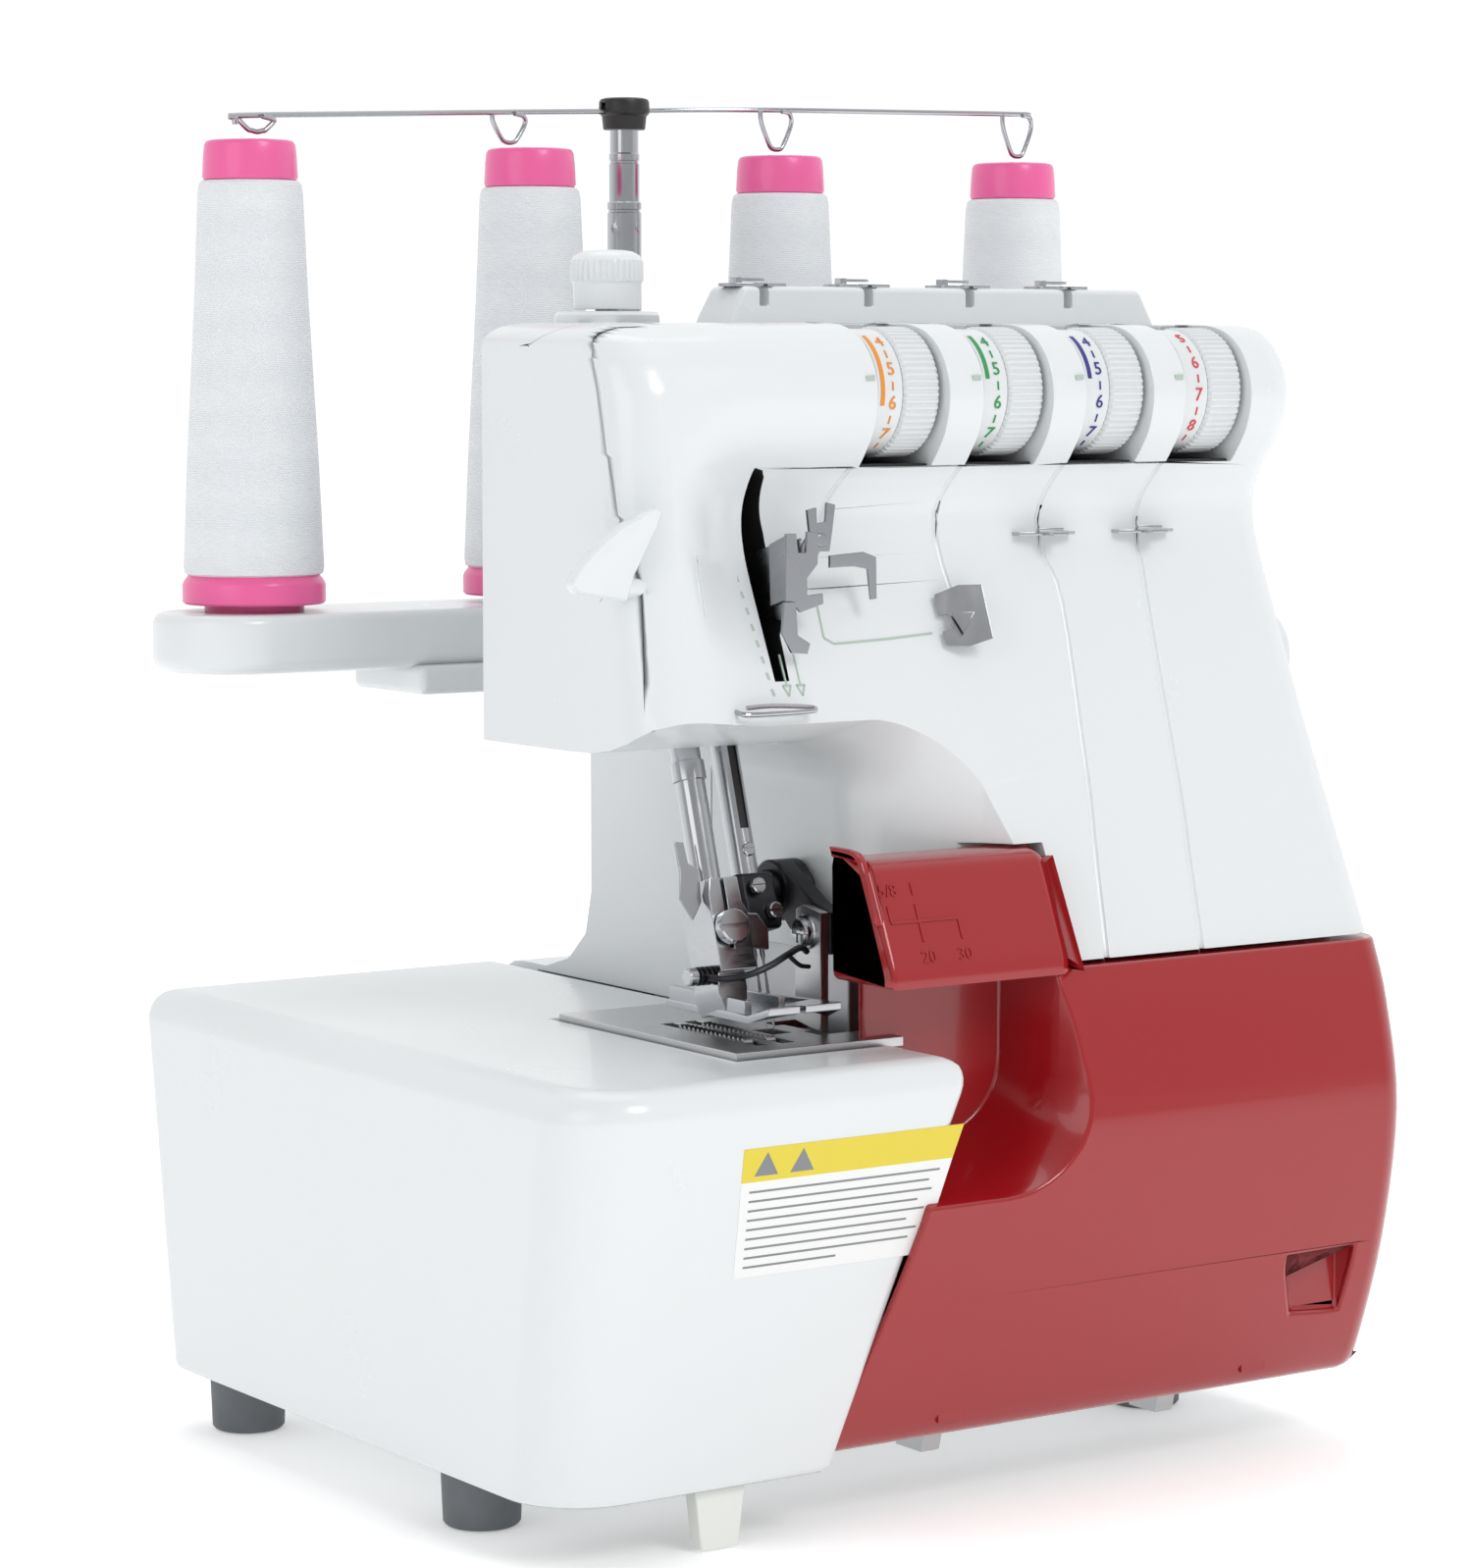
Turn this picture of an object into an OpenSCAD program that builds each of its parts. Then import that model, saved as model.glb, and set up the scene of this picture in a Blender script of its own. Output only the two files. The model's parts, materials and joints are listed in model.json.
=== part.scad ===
// Overlock sewing machine (serger) with four cones, a fold-down front cover and a side table.
// X runs to the operator's right, Y to the back, Z up. Working dimensions are taken from the
// front left foot; every node is then moved so that the origin is the base centre.

/* [Housing] */
// Height of the flat top deck above the floor
deck_z = 298.9; // [298:0.1:300]
// Left face of the sewing head
head_left = 28; // [27:0.5:29]
// Right face of the housing
body_right = 246; // [245:0.5:247]
// Underside of the sewing head
arm_z = 192; // [191:0.5:193]
// Left face of the column beside the work space
column_left = 99; // [98.5:0.5:100]
// Back of the sewing head
head_back = 56; // [55:0.5:58]
// Back of the column
column_back = 104; // [103:0.5:104]
// Height of the joint between the upper cover and the front cover
seam_z = 137.3; // [137:0.1:138]
// Plastic wall thickness
wall = 2.5; // [2:0.1:2.5]

/* [Extension table] */
// Left face of the table
table_left = -16; // [-17:0.5:-15.5]
// Foremost point of the table and of the machine
table_front = -73; // [-73:0.5:-72]
// Rearmost point of the table and of the machine
table_back = 153; // [153:0.5:154]
// Top of the table
table_z = 118.5; // [118:0.1:119]
// Lower edge of the table
table_bottom = 15.7; // [15:0.1:16]

/* [Thread dials] */
// Radius of a tension dial
dial_r = 16.8; // [16:0.1:17]
// Width of a tension dial
dial_w = 20.5; // [19:0.5:21]
// Spacing of the tension dials
dial_pitch = 33.7; // [33.5:0.1:34]
// Left end of the first tension dial
dial_x0 = 105; // [104.5:0.1:105.2]

/* [Needles and presser] */
// Backward lean of the needle bar and presser bar, in degrees
lean = 16.5; // [16:0.1:17]
// Left needle, sideways
needle_x = 74; // [73.8:0.1:74.2]
// Left and right needle spacing
needle_gap = 2.4; // [2:0.1:2.6]
// Needle bar radius
needle_bar_r = 3.5; // [3.3:0.05:3.5]
// Presser bar, sideways
presser_x = 60; // [59.5:0.1:60]
// Presser bar radius
presser_bar_r = 3.75; // [3.5:0.05:3.8]

/* [Drive] */
// Main shaft radius
shaft_r = 5; // [4.5:0.1:5]
// Main pulley radius
main_pulley_r = 28; // [26:1:28]
// Motor pulley radius
motor_pulley_r = 9; // [8:0.5:9]
// Handwheel radius
handwheel_r = 38; // [35:1:38]

/* [Thread stand] */
// Left end of the cone tray
tray_left = -20; // [-20:1:-19]
// Right end of the cone tray
tray_right = 286; // [285:1:286]
// Top of the cone tray
tray_z = 222; // [221:0.5:222]
// Top of the thread cones
cone_top = 348; // [345:0.5:348]
// Height of the wire bar that guides the threads
bar_z = 361.5; // [361:0.1:362]

/* [Hidden] */
$fn = 64;
mid_x = (tray_left + tray_right) / 2;
mid_y = (table_front + table_back) / 2;
running = 0.05;
seam_y = 44;
seam_gap = 0.3;
left_cover_x = 50;
dial_axis = [-5.4, 281.3];
dial_axle_r = 3;
fin_r = 18.8;
needle_foot = [-18, 120];
presser_foot_yz = [-22.8, 120];
lifter_axis = [6, 213.5];
lifter_slot_r = 36;
hinge_axis = [-44, 26];
hinge_r = 2;
main_axis = [50, 80];
motor_axis = [110, 62];
knife_axis = [2, 153];
knife_shaft_r = 5.5;
looper_stud_r = 3;
lower_looper_axis = [68, 62];
upper_looper_axis = [92, 66];
dial_stem_r = 4;
feed_dial_y = 2;
stitch_dial_z = 168;
differential_dial_z = 208;
side_dial_r = 14;
switch_yz = [118, 96];
switch_pin_x = 243;
inlet_yz = [112, 36];
cone_x = [8, 96, 181, 266];
cone_y = 130;
pole_x = 137;
pole_y = 145;
pole_r = [4.9, 4.35, 4.08];
pole_steps = [334.6, 348.5, 359.5];
knob_xy = [54, 25];
front_points = [[8, deck_z], [-10, 295.4], [-18.6, 284], [-15.4, 269], [-10, 254], [-12, 240],
                [-31.9, 193.4], [-46.3, 162.6], [-58.6, seam_z]];
bulge_points = [[-60.7, 136.3], [-66.6, 119.8], [-71.5, 92], [-65.9, 56], [-55.9, 25], [-50.2, 18.5]];

// ---- outlines ----

function arc(cx, cy, r, from, to, n = 6) =
    [for (i = [0:n]) let (a = from + (to - from) * i / n) [cx + r * cos(a), cy + r * sin(a)]];

function curve_point(a, b, c, d, t) =
    0.5 * (2 * b + (c - a) * t + (2 * a - 5 * b + 4 * c - d) * t * t + (3 * b - a - 3 * c + d) * t * t * t);

// A smooth line through the given points
function spline(p, n = 4) =
    let (last = len(p) - 1)
    concat([for (i = [0:last - 1], j = [0:n - 1])
                curve_point(p[max(i - 1, 0)], p[i], p[i + 1], p[min(i + 2, last)], j / n)],
           [p[last]]);

// The same line moved sideways by t, to the left of its own direction
function shifted(p, t) =
    let (last = len(p) - 1)
    [for (i = [0:last]) let (d = p[min(i + 1, last)] - p[max(i - 1, 0)]) p[i] + t * [-d.y, d.x] / norm(d)];

function front_line(t) = shifted(spline(front_points), t);
function bulge_line(t) = shifted(spline(bulge_points), t);

// Side view of the upper cover, from the deck down to the seam
function upper_outline(t) = concat([[seam_y + 1, deck_z - t]], front_line(t), [[seam_y + 1, seam_z - t]]);

// Front view of the upper cover with the rounded inner corner of the work space
function face_outline(t) =
    concat([[head_left + t, deck_z + 30], [head_left + t, arm_z + t]],
           arc(86, arm_z - 13 + t, 13, 90, 0),
           [[column_left + t, seam_z - 3 * t], [body_right - t, seam_z - 3 * t], [body_right - t, deck_z + 30]]);

// Side view of the head's left cover: everything behind the slanted joint
function left_outline(t) =
    concat([[-6 + t, deck_z - t], [-13 + t, 274.4], [-18.4 + t, 253], [-25 + t, 234], [-28.6 + t, 202],
            [-37 + t, arm_z + t]],
           arc(head_back - 10, arm_z + 10, 10 - t, -90, 0, 4),
           arc(head_back - 6, deck_z - 6, 6 - t, 0, 90, 4));

// Side view of the rear housing, with its front plane at y
function rear_outline(t, y) =
    concat([[y, deck_z - t]], arc(column_back - 8, deck_z - 8, 8 - t, 90, 0),
           [[column_back - t, 142], [107 - t, 130 - t], [116 - t, 122 - t], [128, table_z - t]],
           arc(table_back - 11, table_z - 11, 11 - t, 90, -8),
           [[138.4 - t, t > 0 ? 10 : 17], [y, t > 0 ? 10 : 17]]);

// Side view of the table, with leaning front and back
function table_yz(t) =
    concat([[-58.4 + t, table_bottom - 2 * t]], arc(table_front + 11, table_z - 11, 11 - t, 188, 90),
           arc(table_back - 11, table_z - 11, 11 - t, 90, -8), [[138.2 - t, table_bottom - 2 * t]]);

// Front view of the table, with its slanted right end
function table_xz(t) =
    concat([[table_left + t, table_bottom - 2 * t]], arc(table_left + 7, table_z - 7, 7 - t, 180, 90, 4),
           t > 0 ? [[140, table_z - t], [140, table_bottom - 2 * t]]
                 : concat(arc(87, table_z - 8, 8, 90, -18, 4), [[65.4, table_bottom]]));

// Front view of the red cover, with the scooped upper left corner
function cover_face(t) =
    concat([[66.2 - (t > 0 ? 40 : 0), 18.5 + t]], arc(body_right - 12.5, 30.5, 12 - t, -90, 0, 4),
           [[body_right - 0.5 - t, 136.3 - t], [136 + t, 136.3 - t]], arc(110, 108.6, 26 + t, 0, -90, 5),
           [[87.6 - (t > 0 ? 40 : 0), 82.6 - t]]);

module yz_prism(outline, x0, x1)
    translate([x0, 0, 0]) rotate([90, 0, 90]) linear_extrude(x1 - x0) polygon(outline);

module xz_prism(outline, y0, y1)
    translate([0, y1, 0]) rotate([90, 0, 0]) linear_extrude(y1 - y0) polygon(outline);

module block(low, high) translate(low) cube(high - low);

// Rod along X at [y, z]
module x_rod(yz, r, x0, x1) translate([x0, yz[0], yz[1]]) rotate([0, 90, 0]) cylinder(r = r, h = x1 - x0);

// Rod along Y at [x, z]
module y_rod(xz, r, y0, y1) translate([xz[0], y1, xz[1]]) rotate([90, 0, 0]) cylinder(r = r, h = y1 - y0);

// Turned part about an X axis: the outline is [distance along X, radius]
module x_turned(yz, outline)
    translate([0, yz[0], yz[1]]) rotate([0, 90, 0]) rotate_extrude()
        polygon([for (p = outline) [p.y, p.x]]);

function unit(v) = v / norm(v);

// Eight corners round one point of a wire; side lies across the wire's plane
function wire_ring(p, along, side, r) =
    let (u = unit(cross(along, side)), v = unit(cross(along, u)))
    [for (k = [0:7]) p + r * (cos(45 * k) * u + sin(45 * k) * v)];

// Bent wire through the given points
module bent_wire(points, r, side) {
    last = len(points) - 1;
    rings = [for (i = [0:last])
        wire_ring(points[i], points[min(i + 1, last)] - points[max(i - 1, 0)], side, r)];
    polyhedron([for (ring = rings, p = ring) p],
               concat([[for (k = [0:7]) k]], [[for (k = [7:-1:0]) 8 * last + k]],
                      [for (i = [0:last - 1], k = [0:7])
                          [8 * i + k, 8 * (i + 1) + k, 8 * (i + 1) + (k + 1) % 8, 8 * i + (k + 1) % 8]]));
}

// Frame whose Z axis is the leaning bar's axis, with its origin on the stitch plate
module leaning(x, foot) translate([x, foot[0], foot[1]]) rotate([-lean, 0, 0]) children();

module in_frame() translate([-mid_x, -mid_y, 0]) children();

// ---- housing ----

module base_pan() color("gainsboro") {
    difference() {
        block([-11, -30, 16], [238, 132, 22]);
        for (p = feet_xy()) translate([p.x, p.y, 15]) cylinder(r = 2.6, h = 8);
    }
}

function feet_xy() = [[0, 0], [0, 123], [220, 8], [220, 123]];

module rubber_feet() color("dimgray")
    for (p = feet_xy()) translate([p.x, p.y, 0]) rotate_extrude()
        polygon([[0, 3], [4, 3], [4, 0], [9, 0], [9.8, 1], [10.4, 16], [2.5, 16], [2.5, 22], [0, 22]]);

// Cast frame: floor, two bearing plates, back web, arm and the looper studs
module machine_frame() color("silver")
    difference() {
        union() {
            block([46, -25, 22], [238, 130, 28]);
            for (x = [104, 222]) yz_prism(bearing_plate(), x, x + 8);
            block([112, 74, 28], [222, 80, 240]);
            block([36, 38, 205], [104, 46, 285]);
            block([52, -8, 200], [84, 38, 208]);
            block([52, 8, 262], [84, 38, 270]);
            block([40, -2, 205], [46, 38, 222]);
            block([48, 12, 28], [54, 38, 117.5]);
            block([90, 12, 28], [98, 38, 117.5]);
            block([48, 6, 28], [98, 12, 96]);
            y_rod(lower_looper_axis, looper_stud_r, -14, 6);
            y_rod(upper_looper_axis, looper_stud_r, -14, 6);
            block([98, 12, 60], [104, 38, 100]);
        }
        leaning(needle_x + needle_gap / 2, needle_foot) cylinder(r = needle_bar_r + running, h = 200);
        leaning(presser_x, presser_foot_yz) cylinder(r = presser_bar_r + running, h = 200);
        x_rod(lifter_axis, 3 + running, 39, 47);
        x_rod(main_axis, 8, 100, 235);
        x_rod(knife_axis, knife_shaft_r + running, 100, 115);
    }

function bearing_plate() = [[-12, 28], [80, 28], [80, 240], [46, 285], [14, 285], [14, 262], [-2, 250],
                            [-12, 200]];

module shaft_bushes() color("peru")
    for (x = [102, 220]) difference() {
        x_rod(main_axis, 8, x, x + 11.5);
        x_rod(main_axis, shaft_r + running, x - 1, x + 13);
    }

// Pocket in the upper cover behind the knife guard
module guard_pocket(t) block([80, -90, 120], [141.5 + t, -33 + t, 169 + t]);

module lifter_slot() intersection() {
    difference() {
        x_rod(lifter_axis, lifter_slot_r + 3.4, head_left - 3, head_left + 9);
        x_rod(lifter_axis, lifter_slot_r - 3.4, head_left - 4, head_left + 10);
    }
    yz_prism([lifter_axis, [-40, 252], [-60, 205], [-40, 198]], head_left - 4, head_left + 10);
}

module dial_windows() for (i = [0:3])
    block([dial_x0 + i * dial_pitch - 1.1, -40, 262.5],
          [dial_x0 + i * dial_pitch + dial_w + 1.1, 13.5, deck_z + 1]);

// Round ribs between the tension dials
module dial_fins() for (i = [0:4])
    difference() {
        x_rod(dial_axis, fin_r, dial_x0 + (i - 1) * dial_pitch + dial_w + 1.1, dial_x0 + i * dial_pitch - 1.1);
        x_rod(dial_axis, dial_axle_r, 80, body_right);
        block([80, 10, 255], [body_right, 30, 305]);
        block([80, -40, deck_z - 1], [body_right, 30, deck_z + 10]);
    }

// Room behind the slot for the lever's arm
module lifter_room() intersection() {
    difference() {
        x_rod(lifter_axis, lifter_slot_r + 3.4, head_left + wall + 0.5, head_left + 10);
        x_rod(lifter_axis, lifter_slot_r - 14, head_left, head_left + 11);
    }
    yz_prism([lifter_axis, [-40, 252], [-60, 205], [-40, 198]], head_left, head_left + 11);
}

module upper_front_cover() color("white") {
    difference() {
        intersection() {
            yz_prism(upper_outline(0), head_left, body_right);
            xz_prism(face_outline(0), -90, seam_y);
        }
        difference() {
            intersection() {
                yz_prism(upper_outline(wall), head_left, body_right);
                xz_prism(face_outline(wall), -90, seam_y + 1);
            }
            guard_pocket(wall);
        }
        guard_pocket(0);
        yz_prism(left_outline(-seam_gap), head_left - 1, left_cover_x + seam_gap);
        block([head_left - 1, 20, arm_z - 1], [left_cover_x + seam_gap, 60, deck_z + 1]);
        dial_windows();
        lifter_slot();
        x_rod(knife_axis, 9, column_left - 1, column_left + 4);
        block([55, -8, arm_z - 1], [79, 10, arm_z + 4]);
        block([72.4, -40, 209], [78.6, -4, 262]);
        translate([knob_xy[0], knob_xy[1], 280]) cylinder(r = 3 + running, h = 30);
        for (z = [stitch_dial_z, differential_dial_z])
            x_rod([feed_dial_y, z], dial_stem_r + running, body_right - 4, body_right + 1);
    }
    dial_fins();
    difference() {
        translate([knob_xy[0], knob_xy[1], deck_z - 0.5]) cylinder(r = 13.4, h = 3.4);
        translate([knob_xy[0], knob_xy[1], 280]) cylinder(r = 3 + running, h = 30);
        yz_prism(left_outline(-seam_gap), head_left - 1, left_cover_x + seam_gap);
    }
}

module left_face_cover() color("white")
    difference() {
        yz_prism(left_outline(seam_gap), head_left, left_cover_x);
        yz_prism(left_outline(wall), head_left + wall, left_cover_x + 1);
        lifter_slot();
        lifter_room();
        x_rod([20, 240], 4.5, head_left - 1, head_left + 4);
        translate([knob_xy[0], knob_xy[1], 280]) cylinder(r = 14, h = 30);
    }

module rear_cover() color("white")
    difference() {
        union() {
            yz_prism(rear_outline(0, seam_y + seam_gap), column_left, body_right);
            block([left_cover_x + seam_gap, seam_y + seam_gap, arm_z], [column_left, head_back, deck_z]);
            yz_prism([[-38, 137], [-38, 50], [-30, 40], [-30, 17], [seam_y + 1, 17], [seam_y + 1, 137]],
                     body_right - wall, body_right);
            block([body_right - 12, 104, 82], [body_right + 1.5, 132, 110]);
        }
        difference() {
            union() {
                yz_prism(rear_outline(wall, seam_y - 1), column_left + wall, body_right - wall);
                block([column_left - 1, seam_y - 1, 16], [column_left + wall + 1, 132.4, arm_z - 75]);
                block([left_cover_x - 1, seam_y - 1, arm_z + wall],
                      [column_left + 12, head_back - wall, deck_z - wall]);
            }
            block([body_right - 12, 104, 82], [body_right, 132, 110]);
        }
        block([left_cover_x, seam_y - 5, 100], [body_right - wall, seam_y + seam_gap, deck_z + 1]);
        block([body_right - wall - 1, seam_y - 1, seam_z - 0.5], [body_right + 1, seam_y + seam_gap, deck_z + 1]);
        x_rod(main_axis, 8, body_right - 4, body_right + 1);
        block([body_right - 13, 110.7, 84.7], [body_right + 2, 125.3, 107.3]);
        y_rod([switch_pin_x, switch_yz[1]], 1.25, 108, 128);
        block([body_right - 4, inlet_yz[0] - 12, inlet_yz[1] - 8], [body_right + 1, inlet_yz[0] + 12, inlet_yz[1] + 8]);
    }

module cover_hinge() color("silver") {
    x_rod(hinge_axis, hinge_r, 94, 214);
    for (x = [112, 190]) {
        x_rod(hinge_axis, 4, x, x + 6);
        yz_prism([[-44, 22.2], [-40, 22.2], [-36, 20], [-33, 9], [-22, 9], [-22, 15.9], [-30.2, 15.9],
                  [-30.2, 30], [-44, 30]], x, x + 6);
    }
}

// ---- front cover and table ----

module front_cover() color("firebrick") {
    back = [[-46, 18.5], [-38.6, 45], [-38.6, 136.3]];
    difference() {
        intersection() {
            yz_prism(concat(bulge_line(0), back), 60, body_right);
            xz_prism(cover_face(0), -90, -20);
        }
        intersection() {
            yz_prism(concat(bulge_line(wall), [[-38, 10], [-38, 133.8]]), 50, body_right);
            xz_prism(cover_face(wall), -90, -20);
        }
        block([209, -80, 35], [232, -66.6, 54]);
    }
    yz_prism([[-69.5, 80.5], [-38.6, 108], [-38.6, 112], [-70.5, 83.4]], 96.2, 137);
    for (x = [100, 200]) difference() {
        union() {
            x_rod(hinge_axis, 4.5, x, x + 8);
            block([x, -54, 23], [x + 8, -46, 29]);
        }
        x_rod(hinge_axis, hinge_r + running, x - 1, x + 9);
    }
    block([209, -66.6, 35], [232, -64.2, 54]);
}

module knife_guard() color("firebrick")
    yz_prism([[-61.5, 136.3], [-61, 140], [-51, 164], [-49, 165.8], [-37, 165.8], [-37, 163.4], [-48.6, 163],
              [-58.2, 139.6], [-57.6, 138.8], [-40, 138.8], [-40, 136.3]], 80, 138);

module extension_table() color("white")
    difference() {
        union() {
            intersection() {
                yz_prism(table_yz(0), table_left, 140);
                xz_prism(table_xz(0), -100, 200);
                table_plan(0);
            }
            intersection() {
                yz_prism(table_yz(0), 60, column_left - 0.6);
                block([60, 40, 0], [120, 200, 200]);
            }
        }
        intersection() {
            yz_prism(table_yz(wall), table_left, 140);
            xz_prism(table_xz(wall), -100, 200);
            table_plan(wall);
        }
        block([46, -46, 0], [140, 40, 200]);
    }

module table_plan(t) {
    corner = 20 - t;
    translate([table_left + 20, table_front + 20, 0]) cylinder(r = corner, h = 200);
    block([table_left + 20, table_front + t, 0], [150, 200, 200]);
    block([table_left + t, table_front + 20, 0], [table_left + 21, 200, 200]);
}

module table_leg() color("whitesmoke")
    xz_prism([[27, table_bottom + 1], [29, 0.4], [40, 0.4], [42, table_bottom + 1], [42, 60], [27, 60]], -55.4, -50.4);

// ---- thread guides and dials ----

module thread_guide_strip() color("white")
    difference() {
        xz_prism([[91, deck_z], [96.5, 308.7], [229.5, 308.7], [235, deck_z]], 25, 41);
        for (i = [0:3]) block([dial_x0 + i * dial_pitch - 4, 24, 304], [dial_x0 + i * dial_pitch + 0.5, 29, 309]);
    }

module top_thread_guides() color("silver")
    for (i = [0:3]) translate([dial_x0 + i * dial_pitch - 2, 32, 308.7]) {
        block([-8, -5, 0], [8, 5, 1.1]);
        block([-1, -6.5, 1], [1, 4, 2.6]);
    }

module dial_axle() color("silver") x_rod(dial_axis, dial_axle_r, 92, 238);

// Ribbed thread dial with its number band on the left
module tension_dial(i) color("white") {
    x0 = dial_x0 + i * dial_pitch;
    difference() {
        x_turned(dial_axis, [[x0, 0], [x0, dial_r - 1.2], [x0 + 1, dial_r - 0.4], [x0 + 7.5, dial_r - 0.4],
                             [x0 + 8, dial_r], [x0 + dial_w - 1, dial_r], [x0 + dial_w, dial_r - 1],
                             [x0 + dial_w, 0]]);
        x_rod(dial_axis, dial_axle_r + running, x0 - 1, x0 + dial_w + 1);
    }
}

module tension_dial_1() tension_dial(0);
module tension_dial_2() tension_dial(1);
module tension_dial_3() tension_dial(2);
module tension_dial_4() tension_dial(3);

module front_thread_guides() color("silver") {
    yz_prism([[-33, 218], [-18, 215], [-14.5, 229], [-27, 234]], 125.6, 126.8);
    block([125.6, -33, 219], [136, -31.8, 232]);
    for (x = [157, 190.3]) {
        block([x, -24, 243.6], [x + 19, -9.5, 244.8]);
        block([x + 7.5, -26, 243.2], [x + 11.5, -23.6, 245.6]);
    }
    bent_wire([[55, -27, 203.4], [55, -32.4, 202.7], [55.6, -33, 202.6], [78, -33, 202.6], [78.6, -32.4, 202.7],
               [78.6, -27, 203.4]], 0.9, [0, 0, 1]);
}

// ---- presser ----

module presser_lifter_lever() color("white") {
    x_rod(lifter_axis, 3, 33, 53);
    yz_prism([[lifter_axis[0], lifter_axis[1] - 4], [lifter_axis[0] + 3, lifter_axis[1] + 3],
              [-20.5, 237.5], [-26, 232]], 33, 36);
    x_rod([-23.4, 234], 2.5, 22, 36);
    block([21, -32, 230], [head_left - 0.7, -22, 237.5]);
    xz_prism([[head_left - 0.7, 229.5], [12, 233.5], [10, 239], [16, 247.5], [24, 252.6], [31.5, 254.6],
              [31.5, 250.5], [head_left - 0.7, 243]], -34, -30);
}

module presser_bar() color("silver")
    leaning(presser_x, presser_foot_yz) translate([0, 0, 24]) cylinder(r = presser_bar_r, h = 148);

// Shank with clamp slot, ankle and sole, held up by the lifter
module presser_foot() color("silver") {
    leaning(presser_x, presser_foot_yz) {
        difference() {
            block([-4.6, -7, 16], [6.4, 7, 40]);
            translate([0, 0, 15]) cylinder(r = presser_bar_r, h = 40);
        }
        block([-4, 5, 10], [2, 12, 20]);
    }
    block([56, -24, 129], [64, -8, 140]);
    difference() {
        block([56, -44, 125.6], [80.6, 2, 129]);
        block([72, -30, 120], [79, -14, 131]);
        block([66.4, -60, 120], [68.4, -34, 131]);
    }
}

module foot_screw() color("silver")
    leaning(presser_x, presser_foot_yz) translate([0, -7, 27]) rotate([90, 0, 0]) difference() {
        cylinder(r = 4.4, h = 4);
        block([-5, -0.5, 3], [5, 0.5, 5]);
    }

module foot_wire_guide() color([0.1, 0.1, 0.11])
    bent_wire([[55.4, -16, 137], [53, -20, 136.4], [52.4, -25, 136.2], [53.6, -30, 136.2], [57.5, -32.6, 137.2],
               [62, -33, 138.5], [72, -30, 141.5]], 0.9, [0, 0, 1]);

module pressure_knob() color("white") translate([knob_xy[0], knob_xy[1], 0]) rotate_extrude()
    polygon([[0, 290], [3, 290], [3, 302.4], [8.4, 302.4], [8.6, 309], [9.4, 309.6], [9.4, 314.5], [8.6, 316],
             [5, 317.3], [0, 317.5]]);

// ---- needles ----

module needle_bar() color("silver")
    leaning(needle_x + needle_gap / 2, needle_foot) translate([0, 0, 34]) cylinder(r = needle_bar_r, h = 114);

module needle_clamp() color([0.13, 0.13, 0.14]) leaning(needle_x + needle_gap / 2, needle_foot)
    difference() {
        block([-6.6, -5.6, 26], [6.8, 5, 40]);
        translate([0, 0, 34]) cylinder(r = needle_bar_r, h = 10);
        for (s = [-1, 1]) translate([s * needle_gap / 2, 0, 20]) cylinder(r = 0.8, h = 14);
    }

module needles() color("silver") leaning(needle_x + needle_gap / 2, needle_foot)
    for (s = [-1, 1]) translate([s * needle_gap / 2, 0, 0]) rotate_extrude($fn = 24)
        polygon([[0, 1], [0.4, 4], [0.45, 18], [0.8, 20], [0.8, 33], [0, 33]]);

module needle_screws() color("silver") leaning(needle_x + needle_gap / 2, needle_foot)
    for (p = [[1.5, 30], [-1.6, 36.5]]) translate([p.x, -5.6, p.y]) rotate([90, 0, 0]) difference() {
        cylinder(r = 1.9, h = 2.2);
        block([-2, -0.35, 1.4], [2, 0.35, 3]);
    }

// Plate on the needle bar that carries the thread hooks out through the front slot
module take_up_levers() color("silver") {
    difference() {
        leaning(needle_x + needle_gap / 2, needle_foot) translate([0, 0, 112]) cylinder(r = 6, h = 8);
        leaning(needle_x + needle_gap / 2, needle_foot) translate([0, 0, 100]) cylinder(r = needle_bar_r, h = 30);
    }
    yz_prism([[8.5, 228], [8.5, 236], [-22, 244], [-26, 240], [-26, 222], [-22, 222]], 74.6, 76.4);
    block([74.6, -27.2, 222], [84, -26, 240]);
    block([82.8, -27.2, 234], [84, -20.5, 246]);
    block([84, -21.7, 238], [90, -20.5, 249]);
    block([84, -25.2, 236], [101, -24, 241]);
    block([99.6, -25.2, 229], [101, -24, 241]);
}

// ---- knives and loopers ----

module knife_shaft() color([0.16, 0.16, 0.17]) x_rod(knife_axis, knife_shaft_r, 84, 150);

module knife_arm() color([0.16, 0.16, 0.17]) {
    difference() {
        union() {
            x_rod(knife_axis, 8, 89, 97);
            yz_prism([[2, 146], [6, 158], [-16, 151], [-24, 149], [-24, 139], [-14, 139]], 89, 94);
            x_rod([-18, 144.6], 6.5, 89, 98);
        }
        x_rod(knife_axis, knife_shaft_r, 80, 100);
    }
}

module upper_knife() color("silver")
    yz_prism([[-24, 119], [-13, 121], [-13, 150], [-24, 150]], 86.4, 89);

module knife_screw() color("silver") difference() {
    x_rod([-18, 144.6], 4.3, 83.6, 86.4);
    block([83, -18.5, 141.5], [84.6, -17.5, 147.7]);
    block([83, -21.1, 144.1], [84.6, -14.9, 145.1]);
}

module lower_knife() color("silver")
    yz_prism([[-22, 100], [-8, 100], [-8, 117], [-10, 119.8], [-22, 119.8]], 82.4, 85);

module stitch_plate() color("silver")
    difference() {
        block([47, -44, 117.5], [98, 38, 120]);
        block([82, -30, 116], [99, -5, 121]);
        for (x = [59, 66]) block([x, -36, 116], [x + 4, 8, 121]);
        block([72.2, -23, 116], [78.6, -14, 121]);
    }

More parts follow.
